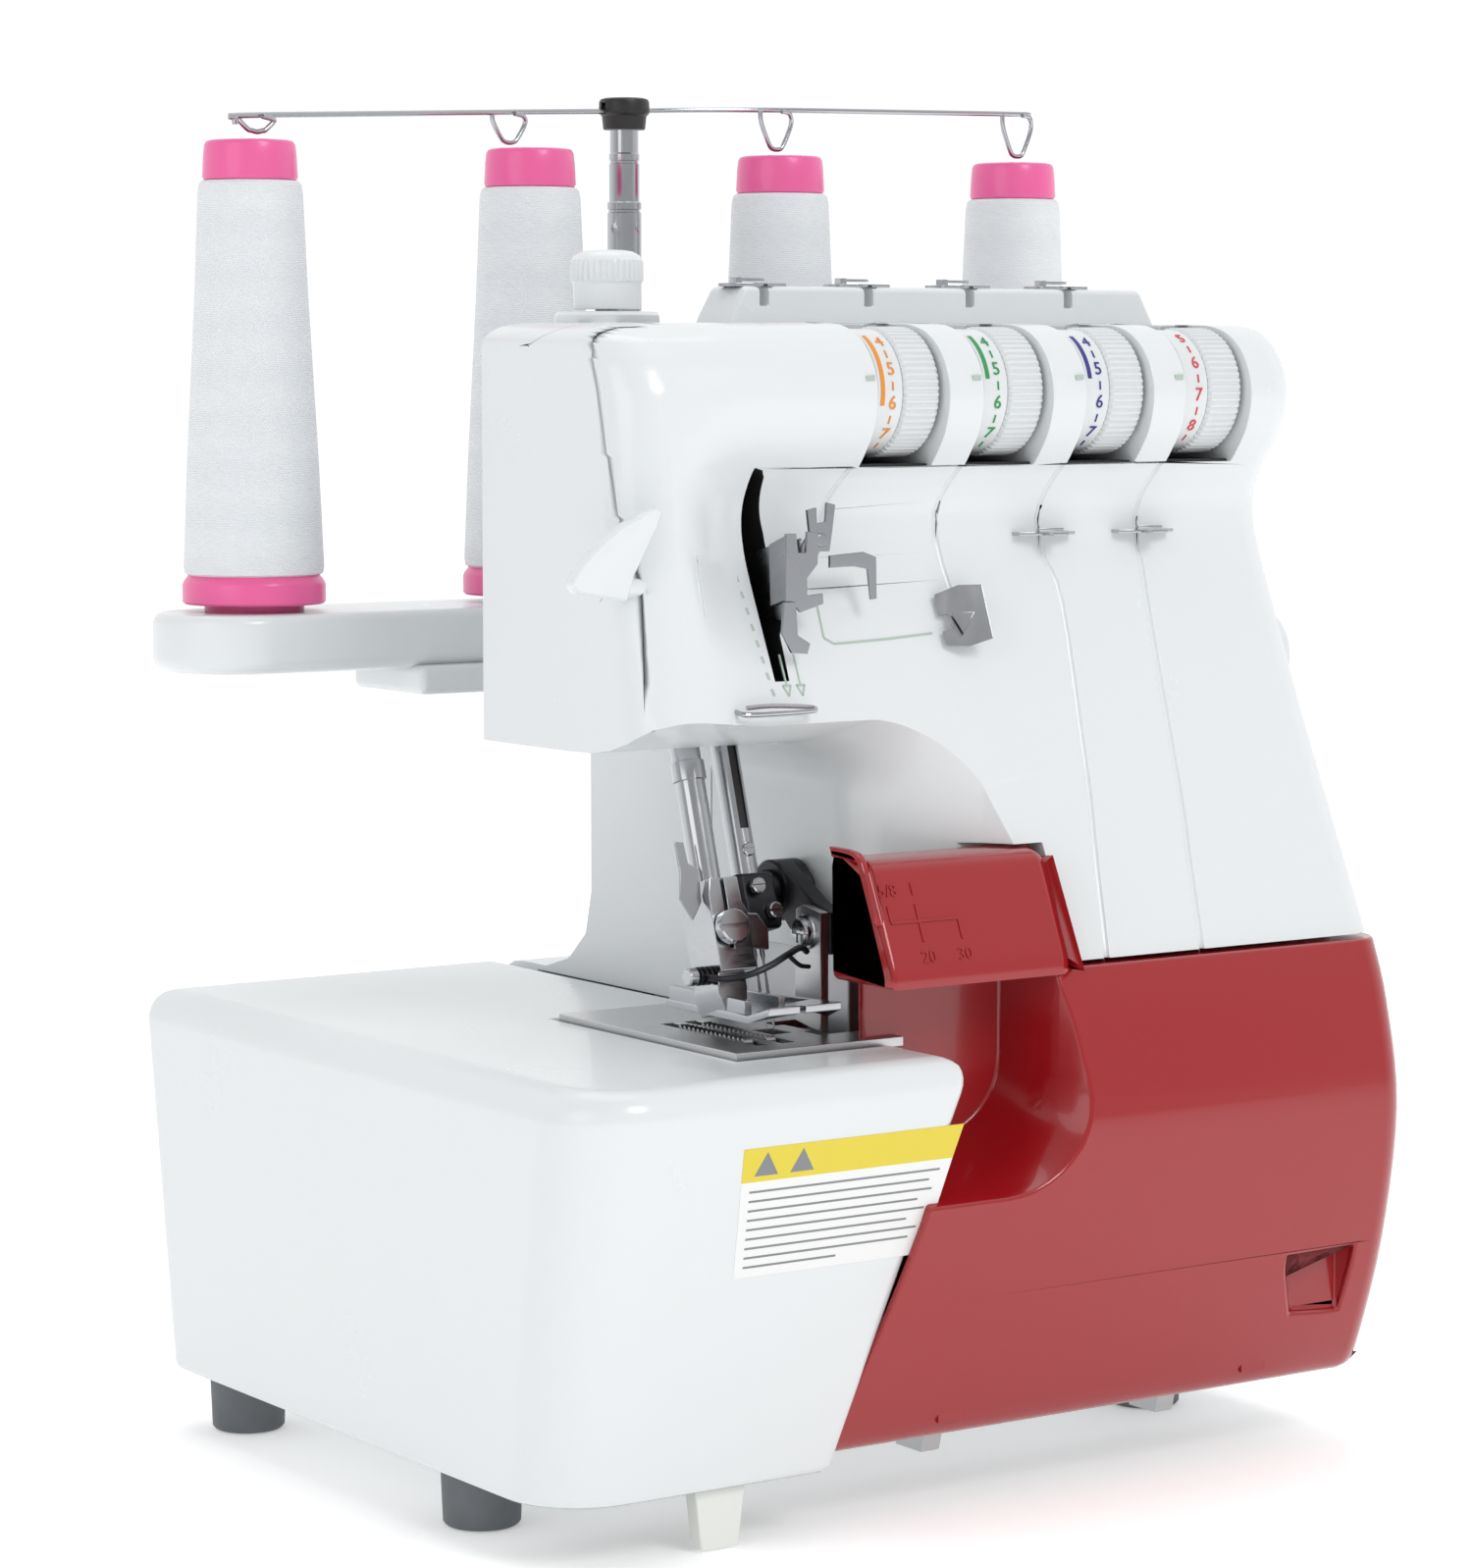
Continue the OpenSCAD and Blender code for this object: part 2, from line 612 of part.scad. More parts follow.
// Arm on a stud with its hub, a sideways bridge and a pointed blade
module upper_looper() color("silver") {
    difference() {
        union() {
            y_rod(upper_looper_axis, 7, -13.5, -6);
            block([89, -12, 66], [95, -8, 92]);
            block([89, -29, 84], [95, -8, 92]);
        }
        y_rod(upper_looper_axis, looper_stud_r + running, -14, 0);
    }
    xz_prism([[88, 84], [94, 84], [93, 107], [88, 110], [82, 111], [88, 105]], -29, -25);
}

module lower_looper() color("silver") {
    difference() {
        union() {
            y_rod(lower_looper_axis, 7, -13.5, -6);
            block([65, -12, 62], [71, -8, 104]);
            block([65, -19.2, 98], [71, -8, 104]);
        }
        y_rod(lower_looper_axis, looper_stud_r + running, -14, 0);
    }
    xz_prism([[60, 103], [71, 103], [75.4, 107.6], [62, 107.6]], -19.2, -17.2);
}

module feed_dogs() color("silver") {
    block([58, -29, 110.5], [72, 1, 113.5]);
    for (x = [59.6, 66.6]) {
        block([x, -29, 113.5], [x + 2.8, 1, 119.6]);
        for (y = [-28:2:0]) yz_prism([[y - 1, 119.6], [y, 120.8], [y + 1, 119.6]], x, x + 2.8);
    }
}

// ---- drive ----

module main_shaft() color("silver") {
    x_rod(main_axis, shaft_r, 90, 268);
    for (x = [122, 150, 180]) x_rod([main_axis[0] + 2, main_axis[1] + 1], 11, x, x + 8);
}

module main_pulley() color([0.2, 0.2, 0.21]) difference() {
    x_rod(main_axis, main_pulley_r, 232, 241);
    x_rod(main_axis, shaft_r, 231, 242);
    for (a = [0:72:288]) x_rod(main_axis + 17 * [cos(a), sin(a)], 5, 231, 242);
}

module handwheel() color("whitesmoke") difference() {
    x_turned(main_axis, [[249, 0], [249, 14], [252, 16], [252, handwheel_r - 3], [253, handwheel_r - 1],
                         [256, handwheel_r], [270, handwheel_r], [274, handwheel_r - 4], [273, 10], [270, 8],
                         [270, 0]]);
    x_rod(main_axis, shaft_r, 248, 268);
    for (a = [0:15:345]) x_rod(main_axis + (handwheel_r + 1.2) * [cos(a), sin(a)], 2.4, 255, 276);
}

module motor() color([0.3, 0.3, 0.32]) difference() {
    union() {
        x_turned(motor_axis, [[138, 0], [138, 20], [142, 24], [142, 26], [208, 26], [208, 24], [212, 20], [212, 0]]);
        block([150, 92, 28], [200, 128, 40]);
    }
    x_rod(motor_axis, 3 + running, 190, 213);
}

module motor_pulley() color([0.2, 0.2, 0.21]) {
    x_rod(motor_axis, 3, 192, 233);
    x_rod(motor_axis, motor_pulley_r, 232, 241);
}

// Closed belt outline round both pulleys, grown by t
module belt_outline(t) hull() {
    translate(main_axis) circle(r = main_pulley_r + t);
    translate(motor_axis) circle(r = motor_pulley_r + t);
}

module drive_belt() color([0.08, 0.08, 0.08])
    translate([233, 0, 0]) rotate([90, 0, 90]) linear_extrude(7) difference() {
        belt_outline(2);
        belt_outline(0.35);
    }

module side_dial(z) color("whitesmoke") difference() {
    x_turned([feed_dial_y, z], [[body_right - 8, 0], [body_right - 8, dial_stem_r], [body_right + 0.4, dial_stem_r],
                                [body_right + 0.4, side_dial_r], [body_right + 8, side_dial_r - 0.8],
                                [body_right + 9, side_dial_r - 2], [body_right + 9, 0]]);
    for (a = [0:20:340]) x_rod([feed_dial_y, z] + (side_dial_r + 0.6) * [cos(a), sin(a)], 1.3,
                               body_right + 3, body_right + 10);
}

module stitch_length_dial() side_dial(stitch_dial_z);
module differential_feed_dial() side_dial(differential_dial_z);

module power_switch() color([0.1, 0.1, 0.1])
    translate([switch_pin_x, switch_yz[0], switch_yz[1]]) rotate([0, 8, 0]) {
        xz_prism([[-3, -7], [3.6, -10.4], [5.2, 0], [3.6, 10.4], [-3, 7]], -6.7, 6.7);
        translate([0, 9, 0]) rotate([90, 0, 0]) cylinder(r = 1.2, h = 18);
    }

module power_inlet() color([0.1, 0.1, 0.1]) translate([0, inlet_yz[0], inlet_yz[1]])
    difference() {
        block([body_right - 16, -12, -8], [body_right + 1.2, 12, 8]);
        block([body_right - 13, -9, -5], [body_right + 2, 9, 5]);
    }

// ---- thread stand ----

module spool_stand() color("white") difference() {
    union() {
        for (x = [tray_left + 22, tray_right - 22]) translate([x, cone_y, tray_z - 16]) cylinder(r = 22, h = 16);
        block([tray_left + 22, cone_y - 20, tray_z - 16], [tray_right - 22, cone_y + 22, tray_z]);
        block([45, column_back, 199], [229, 142, tray_z - 16]);
        block([110, column_back, 180], [164, 108, 206]);
    }
    translate([pole_x, pole_y, 190]) cylinder(r = pole_r[0], h = 60);
    for (x = cone_x) translate([x, cone_y, 210]) cylinder(r = 3, h = 20);
}

module spool_pins() color("whitesmoke")
    for (x = cone_x) translate([x, cone_y, 210]) rotate_extrude()
        polygon([[0, 0], [3, 0], [3, 84], [1.5, 88], [0, 88]]);

module cone_cushions() color([0.85, 0.33, 0.55])
    for (x = cone_x) translate([x, cone_y, tray_z]) difference() {
        cylinder(r = 13.5, h = 2);
        translate([0, 0, -1]) cylinder(r = 3, h = 5);
    }

module cone_cores() color([0.85, 0.33, 0.55])
    for (x = cone_x) translate([x, cone_y, 0]) rotate_extrude()
        polygon([[3, tray_z + 2], [19.3, tray_z + 2], [19.3, tray_z + 8], [17.5, tray_z + 9.5],
                 [11.4, cone_top - 10], [11.6, cone_top - 10], [11.2, cone_top - 1], [10.4, cone_top],
                 [7.5, cone_top], [7.5, cone_top - 12], [12, tray_z + 12], [3, tray_z + 6]]);

module thread_windings() color("white")
    for (x = cone_x) translate([x, cone_y, 0]) rotate_extrude()
        polygon([[17.5, tray_z + 9.5], [18.9, tray_z + 9.6], [18.6, tray_z + 12], [14.4, cone_top - 11.5],
                 [13.6, cone_top - 10], [11.4, cone_top - 10]]);

// Tube of the telescopic pole with a bore for the next one
module pole_tube(i, z0) color("silver") difference() {
    translate([pole_x, pole_y, z0]) cylinder(r = pole_r[i], h = pole_steps[i] - z0);
    if (i < 2) translate([pole_x, pole_y, z0 + 6]) cylinder(r = pole_r[i + 1] + running, h = 200);
}

module pole_lower() pole_tube(0, 200);
module pole_middle() pole_tube(1, 206.5);
module pole_top() pole_tube(2, 213);

module pole_cap() color([0.1, 0.1, 0.11]) translate([pole_x, pole_y, 0]) rotate_extrude()
    polygon([[0, 364], [5.8, 364], [7, 363], [7.2, 360], [6.6, 359], [6, 355], [pole_r[2] + running, 355],
             [pole_r[2] + running, 359.8], [0, 359.8]]);

// Wire bar with an eyelet over each cone
module guide_bar() color("silver") {
    bent_wire([[0, pole_y, 357], [4, pole_y, 359], [90, pole_y, 361], [pole_x, pole_y, bar_z],
               [180, pole_y, bar_z], [268, pole_y, 361], [271, pole_y, 359.4]], 0.75, [0, 1, 0]);
    for (x = cone_x) bent_wire([[x - 5, pole_y, 360.8], [x - 3, pole_y, 351.2], [x - 2, pole_y, 350.3],
                                [x + 2, pole_y, 350.3], [x + 3, pole_y, 351.2], [x + 5, pole_y, 360.8]],
                               0.7, [0, 1, 0]);
}

in_frame() base_pan();
in_frame() rubber_feet();
in_frame() machine_frame();
in_frame() upper_front_cover();
in_frame() left_face_cover();
in_frame() rear_cover();
in_frame() cover_hinge();
in_frame() thread_guide_strip();
in_frame() top_thread_guides();
in_frame() dial_axle();
in_frame() front_thread_guides();
in_frame() lower_knife();
in_frame() stitch_plate();
in_frame() motor();
in_frame() drive_belt();
in_frame() shaft_bushes();
in_frame() power_inlet();
in_frame() spool_stand();
in_frame() spool_pins();
in_frame() cone_cushions();
in_frame() cone_cores();
in_frame() thread_windings();
in_frame() pole_lower();
in_frame() extension_table();
in_frame() table_leg();
in_frame() front_cover();
in_frame() knife_guard();
in_frame() tension_dial_1();
in_frame() tension_dial_2();
in_frame() tension_dial_3();
in_frame() tension_dial_4();
in_frame() presser_lifter_lever();
in_frame() presser_bar();
in_frame() presser_foot();
in_frame() foot_screw();
in_frame() foot_wire_guide();
in_frame() pressure_knob();
in_frame() needle_bar();
in_frame() needle_clamp();
in_frame() needles();
in_frame() needle_screws();
in_frame() take_up_levers();
in_frame() knife_shaft();
in_frame() knife_arm();
in_frame() upper_knife();
in_frame() knife_screw();
in_frame() upper_looper();
in_frame() lower_looper();
in_frame() feed_dogs();
in_frame() main_shaft();
in_frame() main_pulley();
in_frame() handwheel();
in_frame() motor_pulley();
in_frame() stitch_length_dial();
in_frame() differential_feed_dial();
in_frame() power_switch();
in_frame() pole_middle();
in_frame() pole_top();
in_frame() pole_cap();
in_frame() guide_bar();
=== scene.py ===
import json
from math import atan2, cos, pi, radians, sin
import bpy
from mathutils import Matrix, Vector


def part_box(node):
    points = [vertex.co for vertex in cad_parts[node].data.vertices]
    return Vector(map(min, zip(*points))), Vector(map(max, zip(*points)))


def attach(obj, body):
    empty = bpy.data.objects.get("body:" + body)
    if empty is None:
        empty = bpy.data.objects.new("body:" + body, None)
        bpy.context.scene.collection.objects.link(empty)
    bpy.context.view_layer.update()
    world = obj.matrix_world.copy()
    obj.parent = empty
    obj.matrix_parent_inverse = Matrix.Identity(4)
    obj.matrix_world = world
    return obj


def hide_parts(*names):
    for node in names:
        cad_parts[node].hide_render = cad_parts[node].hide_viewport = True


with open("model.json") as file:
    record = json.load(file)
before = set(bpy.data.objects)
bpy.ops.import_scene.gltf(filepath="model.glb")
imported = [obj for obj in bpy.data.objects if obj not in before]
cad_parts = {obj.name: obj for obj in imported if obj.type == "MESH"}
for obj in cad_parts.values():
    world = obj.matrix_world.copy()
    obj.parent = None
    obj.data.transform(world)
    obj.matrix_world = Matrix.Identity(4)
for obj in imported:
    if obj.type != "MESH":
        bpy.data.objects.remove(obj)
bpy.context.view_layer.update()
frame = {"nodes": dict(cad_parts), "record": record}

# Upper cover. One white moulding from the flat deck, over the nose with the thread dials, down the
# hollow front face to the joint with the red cover. The work space is scooped out of its lower left,
# and the slots for the take-up hooks and thread grooves are moulded in. Screwed to the cast frame.
mm = 0.001
front_left_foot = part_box("rubber_feet")[0] + Vector((10.4, 10.4, 0)) * mm


def at(x, y, z):
    """A place on the machine in millimetres from the front left foot, in the frame's metres."""
    return front_left_foot + Vector((x, y, z)) * mm


def along(axis, a, b, depth):
    """The place with a and b in the two directions across an axis, and depth along it."""
    return {"x": at(depth, a, b), "y": at(a, depth, b), "z": at(a, b, depth)}[axis]


def clear():
    for thing in list(bpy.context.selected_objects):
        thing.select_set(False)


def take(piece):
    clear()
    piece.select_set(True)
    bpy.context.view_layer.objects.active = piece


def open_mesh(piece):
    take(piece)
    bpy.ops.object.mode_set(mode="EDIT")


def close_mesh():
    bpy.ops.object.mode_set(mode="OBJECT")


def loft(name, sections):
    """A closed solid through sections with the same number of corners, drawn out one after another."""
    clear()
    bpy.ops.mesh.primitive_circle_add(vertices=len(sections[0]), fill_type="NGON")
    piece = bpy.context.object
    piece.name = name
    for corner, place in zip(piece.data.vertices, sections[0]):
        corner.co = place
    for old, new in zip(sections, sections[1:]):
        open_mesh(piece)
        bpy.ops.mesh.extrude_region_move(TRANSFORM_OT_translate={"value": (0, 0, 0)})
        close_mesh()
        moving = [v for v in piece.data.vertices if v.select]
        for corner in moving:
            nearest = min(range(len(old)), key=lambda k: (old[k] - corner.co).length_squared)
            corner.co = new[nearest]
    open_mesh(piece)
    bpy.ops.mesh.select_all(action="SELECT")
    bpy.ops.mesh.normals_make_consistent(inside=False)
    close_mesh()
    return piece


def slab(name, outline, axis, low, high):
    """A plate with the given outline across one axis, from low to high along it."""
    return loft(name, [[along(axis, a, b, depth) for a, b in outline] for depth in (low, high)])


def block(name, low, high):
    return slab(name, [(low[0], low[1]), (high[0], low[1]), (high[0], high[1]), (low[0], high[1])],
                "z", low[2], high[2])


def turned(name, axis, centre, profile, sides=64):
    """A turned part about an axis: the profile is pairs of distance along it and radius."""
    return loft(name, [[along(axis, centre[0] + radius * cos(2 * pi * k / sides),
                              centre[1] + radius * sin(2 * pi * k / sides), depth)
                        for k in range(sides)] for depth, radius in profile])


def curved(points, steps=4):
    """A smooth line through the given points."""
    last = len(points) - 1
    line = []
    for i in range(last):
        a, b, c, d = (Vector(points[max(i - 1, 0)]), Vector(points[i]), Vector(points[i + 1]),
                      Vector(points[min(i + 2, last)]))
        for j in range(steps):
            t = j / steps
            line.append(0.5 * (2 * b + (c - a) * t + (2 * a - 5 * b + 4 * c - d) * t * t
                               + (3 * b - a - 3 * c + d) * t ** 3))
    return line + [Vector(points[last])]


def arc(centre, radius, start, end, steps):
    return [(centre[0] + radius * cos(radians(start + (end - start) * k / steps)),
             centre[1] + radius * sin(radians(start + (end - start) * k / steps)))
            for k in range(steps + 1)]


def rod(name, points, radius, sides=12, steps=4):
    """A bent wire or rod of round section along a smooth line; radius may be one number or one a point."""
    line = [at(*p) for p in (curved(points, steps) if steps > 1 else [Vector(p) for p in points])]
    across = None
    rings = []
    for i, place in enumerate(line):
        heading = (line[min(i + 1, len(line) - 1)] - line[max(i - 1, 0)]).normalized()
        if across is None:
            across = heading.orthogonal().normalized()
        across = (across - heading * across.dot(heading)).normalized()
        side = heading.cross(across)
        thick = (radius[min(i // steps, len(radius) - 1)] if isinstance(radius, tuple) else radius) * mm
        rings.append([place + thick * (cos(2 * pi * k / sides) * across + sin(2 * pi * k / sides) * side)
                      for k in range(sides)])
    return loft(name, rings)


def round_edges(piece, chosen, width, segments=4):
    """Rounds the edges for which chosen(middle, direction) holds, both given in machine millimetres."""
    open_mesh(piece)
    bpy.ops.mesh.select_mode(type="EDGE")
    bpy.ops.mesh.select_all(action="DESELECT")
    close_mesh()
    corners = piece.data.vertices
    for edge in piece.data.edges:
        a, b = (corners[k].co for k in edge.vertices)
        edge.select = bool(chosen(((a + b) / 2 - front_left_foot) / mm, (b - a).normalized()))
    open_mesh(piece)
    bpy.ops.mesh.bevel(offset=width * mm, segments=segments, affect="EDGES", clamp_overlap=False)
    bpy.ops.mesh.select_mode(type="VERT")
    close_mesh()


def combine(piece, tool, operation="DIFFERENCE"):
    """Cuts the tool's shape out of the piece, or keeps only what they share, and removes the tool."""
    take(piece)
    change = piece.modifiers.new(operation.lower(), "BOOLEAN")
    change.operation = operation
    change.object = tool
    change.solver = "EXACT"
    change.material_mode = "TRANSFER"
    bpy.ops.object.modifier_apply(modifier=change.name)
    bpy.data.objects.remove(tool)
    return piece


def copy_of(piece, name):
    twin = piece.copy()
    twin.data = piece.data.copy()
    twin.name = name
    bpy.context.collection.objects.link(twin)
    return twin


def soften(piece, width, angle=38, segments=2):
    """Small radius on every sharp edge, as a mould or a deburred edge leaves it."""
    take(piece)
    edge = piece.modifiers.new("small radius", "BEVEL")
    edge.width = width * mm
    edge.segments = segments
    edge.limit_method = "ANGLE"
    edge.angle_limit = radians(angle)
    edge.use_clamp_overlap = False
    bpy.ops.object.modifier_apply(modifier=edge.name)


def coat(piece, finish):
    """Gives the finish to whatever on the piece has none yet."""
    if not piece.data.materials:
        piece.data.materials.append(finish)
    for k, present in enumerate(piece.data.materials):
        if present is None:
            piece.data.materials[k] = finish


def join(name, pieces, finish=None):
    """One piece out of several; those with no finish yet get this one."""
    for part in pieces:
        if finish:
            coat(part, finish)
    take(pieces[0])
    for other in pieces[1:]:
        other.select_set(True)
    if len(pieces) > 1:
        bpy.ops.object.join()
    pieces[0].name = name
    return pieces[0]


def paint(piece, finish):
    piece.data.materials.clear()
    piece.data.materials.append(finish)
    return piece


def fit(piece, body, finish, *nodes, smooth=32, slot=None):
    """Smooths the piece, and puts it on its body in place of the CAD nodes it stands for."""
    coat(piece, finish)
    take(piece)
    bpy.ops.object.shade_smooth_by_angle(angle=radians(smooth))
    even = piece.modifiers.new("even shading", "WEIGHTED_NORMAL")
    even.keep_sharp = True
    bpy.ops.object.modifier_apply(modifier=even.name)
    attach(piece, body)
    if nodes:
        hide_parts(*nodes)
    return piece


class Signal:
    """One socket of a finish's shader. Sums with it add Math nodes."""

    def __init__(self, tree, socket):
        self.tree, self.socket = tree, socket

    def node(self, kind, settings, sockets, output=0):
        made = self.tree.nodes.new("ShaderNode" + kind)
        for name, value in settings.items():
            setattr(made, name, value)
        for name, value in sockets.items():
            if isinstance(value, Signal):
                self.tree.links.new(value.socket, made.inputs[name])
            else:
                made.inputs[name].default_value = value
        return Signal(self.tree, made.outputs[output])

    def sum(self, operation, first, second):
        return self.node("Math", {"operation": operation}, {0: first, 1: second})

    def __add__(self, other):
        return self.sum("ADD", self, other)

    def __sub__(self, other):
        return self.sum("SUBTRACT", self, other)

    def __rsub__(self, other):
        return self.sum("SUBTRACT", other, self)

    def __mul__(self, other):
        return self.sum("MULTIPLY", self, other)

    def __gt__(self, other):
        return self.sum("GREATER_THAN", self, other)

    __radd__ = __add__
    __rmul__ = __mul__


def noise(place, scale, detail=2.0):
    return place.node("TexNoise", {}, {"Vector": place, "Scale": scale, "Detail": detail})


def start_finish(name, roughness, metallic=0.0, coat=0.0):
    """A finish with its plain values on the shader, and the signal of its place on the object."""
    finish = bpy.data.materials.new(name)
    finish.use_nodes = True
    tree = finish.node_tree
    shader = tree.nodes["Principled BSDF"]
    shader.inputs["Roughness"].default_value = roughness
    shader.inputs["Metallic"].default_value = metallic
    shader.inputs["Coat Weight"].default_value = coat
    return finish, Signal(tree, tree.nodes.new("ShaderNodeTexCoord").outputs["Object"])


def feed(finish, **signals):
    shader = finish.node_tree.nodes["Principled BSDF"]
    for name, signal in signals.items():
        finish.node_tree.links.new(signal.socket, shader.inputs[name.replace("_", " ")])
    return finish


def between(factor, first, second):
    return factor.node("Mix", {"data_type": "RGBA"}, {0: factor, 6: (*first, 1), 7: (*second, 1)}, 2)


def relief(height, depth, strength=1.0):
    return height.node("Bump", {}, {"Height": height, "Strength": strength, "Distance": depth})


def moulded(name, colour, roughness, coat=0.0, skin=0.00003, grain=1500.0):
    """Moulded plastic: faint colour drift, slightly duller patches from handling, a very fine skin."""
    finish, place = start_finish(name, roughness, coat=coat)
    drift = noise(place, 9.0, 3.0)
    handling = noise(place, 38.0, 5.0)
    return feed(finish, Base_Color=between(drift, [0.985 * c for c in colour], colour),
                Roughness=handling * 0.02 + (roughness - 0.01),
                Normal=relief(noise(place, grain, 1.0), skin, 0.02))


white_plastic = moulded("white_plastic", (0.72, 0.745, 0.755), 0.27, coat=0.25)
black_plastic = moulded("black_plastic", (0.012, 0.012, 0.013), 0.42)

deck_z, seam_z, seam_y, head_back = 298.9, 137.3, 44.0, 56.0
head_left, body_right, left_cover_x = 28.0, 246.0, 50.0
front_face = [(8, 298.9), (0, 298.9), (-7, 298.6), (-14, 296.6), (-19.5, 292.4), (-23.2, 286.4),
              (-24.3, 279.5),
              (-22.4, 271.5), (-18.4, 265.2), (-14.2, 259.8), (-11.3, 253.2), (-11.2, 246.2), (-14.1, 236.8),
              (-19.4, 224), (-31.9, 195), (-46.3, 164), (-58.6, 137.3)]


def face_y(z):
    """How far forward the front face stands at a height below its nose."""
    line = curved(front_face)
    above, below = [(p, q) for p, q in zip(line, line[1:]) if p[1] >= z >= q[1]][0]
    return above[0] + (below[0] - above[0]) * (above[1] - z) / (above[1] - below[1])


# At the left corner the face stays forward; the hollow under the nose opens out to the right of it.
left_face = [(298.9, 8), (298.4, -4), (295, -14), (289, -20), (282, -23.4), (272, -25), (262, -25.6),
             (250, -26.8),
             (236, -28.6), (224, -30.4), (200, -34.4), (164, -46.3), (137.3, -58.6)]


def form_section(x, inset):
    """The housing's side profile at x, drawn in by a distance where an end rounds off."""
    fade = max(0.0, min(1.0, (68 - x) / 30))
    fade = fade * fade * (3 - 2 * fade)
    section = []
    for y, z in curved(front_face):
        (z0, y0), (z1, y1) = [(p, q) for p, q in zip(left_face,
                                                     left_face[1:]) if q[0] <= z or q == left_face[-1]][0]
        corner_y = y0 + (y1 - y0) * (z0 - z) / (z0 - z1)
        section.append(at(x, y + (corner_y - y) * fade + inset, min(z, deck_z - 0.45 * inset)))
    section.append(at(x, head_back, seam_z))
    section += [at(x, y, min(z, deck_z - 0.45 * inset)) for y,
                z in arc((head_back - 6, deck_z - 6), 6, 0, 90, 5)]
    return section + [at(x, 30, deck_z - 0.45 * inset)]


ends = [radians(k) for k in (0, 12, 24, 36, 48, 60, 72, 82, 90)]
form = loft("housing_form", [form_section(head_left + 13 * (1 - cos(a)), 13 * (1 - sin(a))) for a in ends]
            + [form_section(x, 0) for x in (46, 51, 56, 61, 66, 70)]
            + [form_section(body_right - 11 * (1 - cos(a)), 11 * (1 - sin(a))) for a in reversed(ends)])


def scoop(x, z, corner, y):
    """One section of the work space's hollow: right edge x, top z, rounded inner corner."""
    return [at(-30, y, 90), at(-30, y, z)] + [
        at(a, y, b) for a, b in arc((x - corner, z - corner), corner, 90, 0, 10)] + [at(x, y, 90)]


hollow = loft("work_space", [scoop(*section) for section in (
    (99, 192, 13, 120), (99, 192, 13, 2), (99.6, 192.3, 13, -8), (102, 193.4, 15, -16), (108, 195.6, 18, -24),
    (118, 199.4, 19, -31), (127, 202.6, 20, -38), (132.5, 205.5, 21, -46), (136.5, 208.5, 23, -56),
    (141, 216, 27, -95))])
combine(form, hollow)
left_part = slab("left_part", [(-6, 320), (-6, 298.9), (-13, 274.4), (-18.4, 253), (-25, 234), (-28.6, 202),
                               (-37, 191), (-60, 150), (80, 150), (80, 320)], "x", 10, left_cover_x)
left_cover = combine(copy_of(form, "left_face_cover"), copy_of(left_part, "left_part_copy"), "INTERSECT")
gap = copy_of(left_part, "gap")
bpy.data.objects.remove(left_part)
upper = combine(form, gap)
upper.name = "upper_cover"
combine(upper, block("behind_joint", (10, seam_y, 100), (260, 80, 320)))
combine(upper, block("head_hollow", (40, 1, 150), (92, 60, 288)))

dial_axis, dial_x, dial_wide, dial_r = (-5.4, 281.3), [105 + 33.7 * k for k in range(4)], 20.5, 16.8
window_gap, shade_plate_gap = 1.1, 1.0
for x in dial_x:
    combine(upper, block("window", (x - window_gap, -45, 262.3), (x + dial_wide + window_gap, 14, 310)))
# The take-up slot's cut walls are painted black: painted shade for the dark inside of the head seen through
# it.
take_up_slot = loft("take_up_slot", [
    [at(a, y, b) for a, b in ((71.4, 209.5), (75.6, 209.5), (76.2 + flare, 226), (76 + flare, 246),
                              (73.6 + flare, 260), (71.6, 262.5), (70.8, 240))] for y,
                                     flare in ((-60, 9), (-2, 0))])
combine(upper, paint(take_up_slot, black_plastic))
# The lifter slot's cut walls are painted black: painted shade for the dark inside of the head seen through
# it.
lifter_slot = slab("lifter_slot", [(-19, 236), (-25.4, 229.6), (-30.6, 221), (-34.0, 211), (-35.4, 199.4),
                                   (-31.8, 199.4),
                                   (-30.6, 206), (-28.8, 213), (-25.4, 221.6), (-20.5, 229), (-16, 233.4)],
                   "x", 20, 28.2)
for part in (upper, left_cover):
    combine(part, paint(copy_of(lifter_slot, "slot_copy"), black_plastic))
bpy.data.objects.remove(lifter_slot)
# The round hole's walls are painted black: painted shade for the dark inside of the head.
round_hole = turned("hole", "x", (20.5, 240), [(20, 4.4), (34, 4.4)], 32)
combine(left_cover, paint(round_hole, black_plastic))
combine(upper, block("guard_room", (70, -95, 120), (141, -34, 166.5)))

grooves = [[(101.5, 262), (96, 252), (94, 246), (88, 240), (84, 232)],
           [(136.6, 262), (132, 250), (131.6, 240), (132.5, 231), (133.2, 224)],
           [(170.2, 262), (165.4, 248), (165.6, 238), (168, 226), (161.9, 185), (156.4, 160), (151.4, 136)],
           [(203.8, 262), (198.8, 248), (198, 236), (196.3, 222), (191.2, 181), (187, 158), (183.1, 136)]]
for line in grooves:
    path = [(p[0], face_y(max(min(p[1], 262), 137.4)) - 0.1, p[1]) for p in curved(line, 4)]
    combine(upper, rod("groove", path, 0.85, 8, 1))
soften(upper, 0.35, 50)
soften(left_cover, 0.35, 50)
# Black plates under and behind each dial window: painted shade in the deep gap round the dials.
shade_plates = []
for x in dial_x:
    shade_plates += [block("dial_floor", (x - shade_plate_gap, -14.6, 261.4),
                      (x + dial_wide + shade_plate_gap, 13.6, 263.0)),
                block("dial_back", (x - shade_plate_gap, 12.4, 262), (x + dial_wide + shade_plate_gap, 14.2, 297))]
for shade_plate in shade_plates:
    soften(shade_plate, 0.3)
fit(join("dial_linings", shade_plates, black_plastic), "machine", black_plastic)
fit(upper, "machine", white_plastic, "upper_front_cover")
fit(left_cover, "machine", white_plastic, "left_face_cover")

# Rear housing, cast frame and base. The housing behind the column is one white moulding with a right side
# panel; the frame is die-cast aluminium, the pan under it is painted sheet, and four rubber feet are screwed
# on.
def cad(node):
    return frame["nodes"][node]


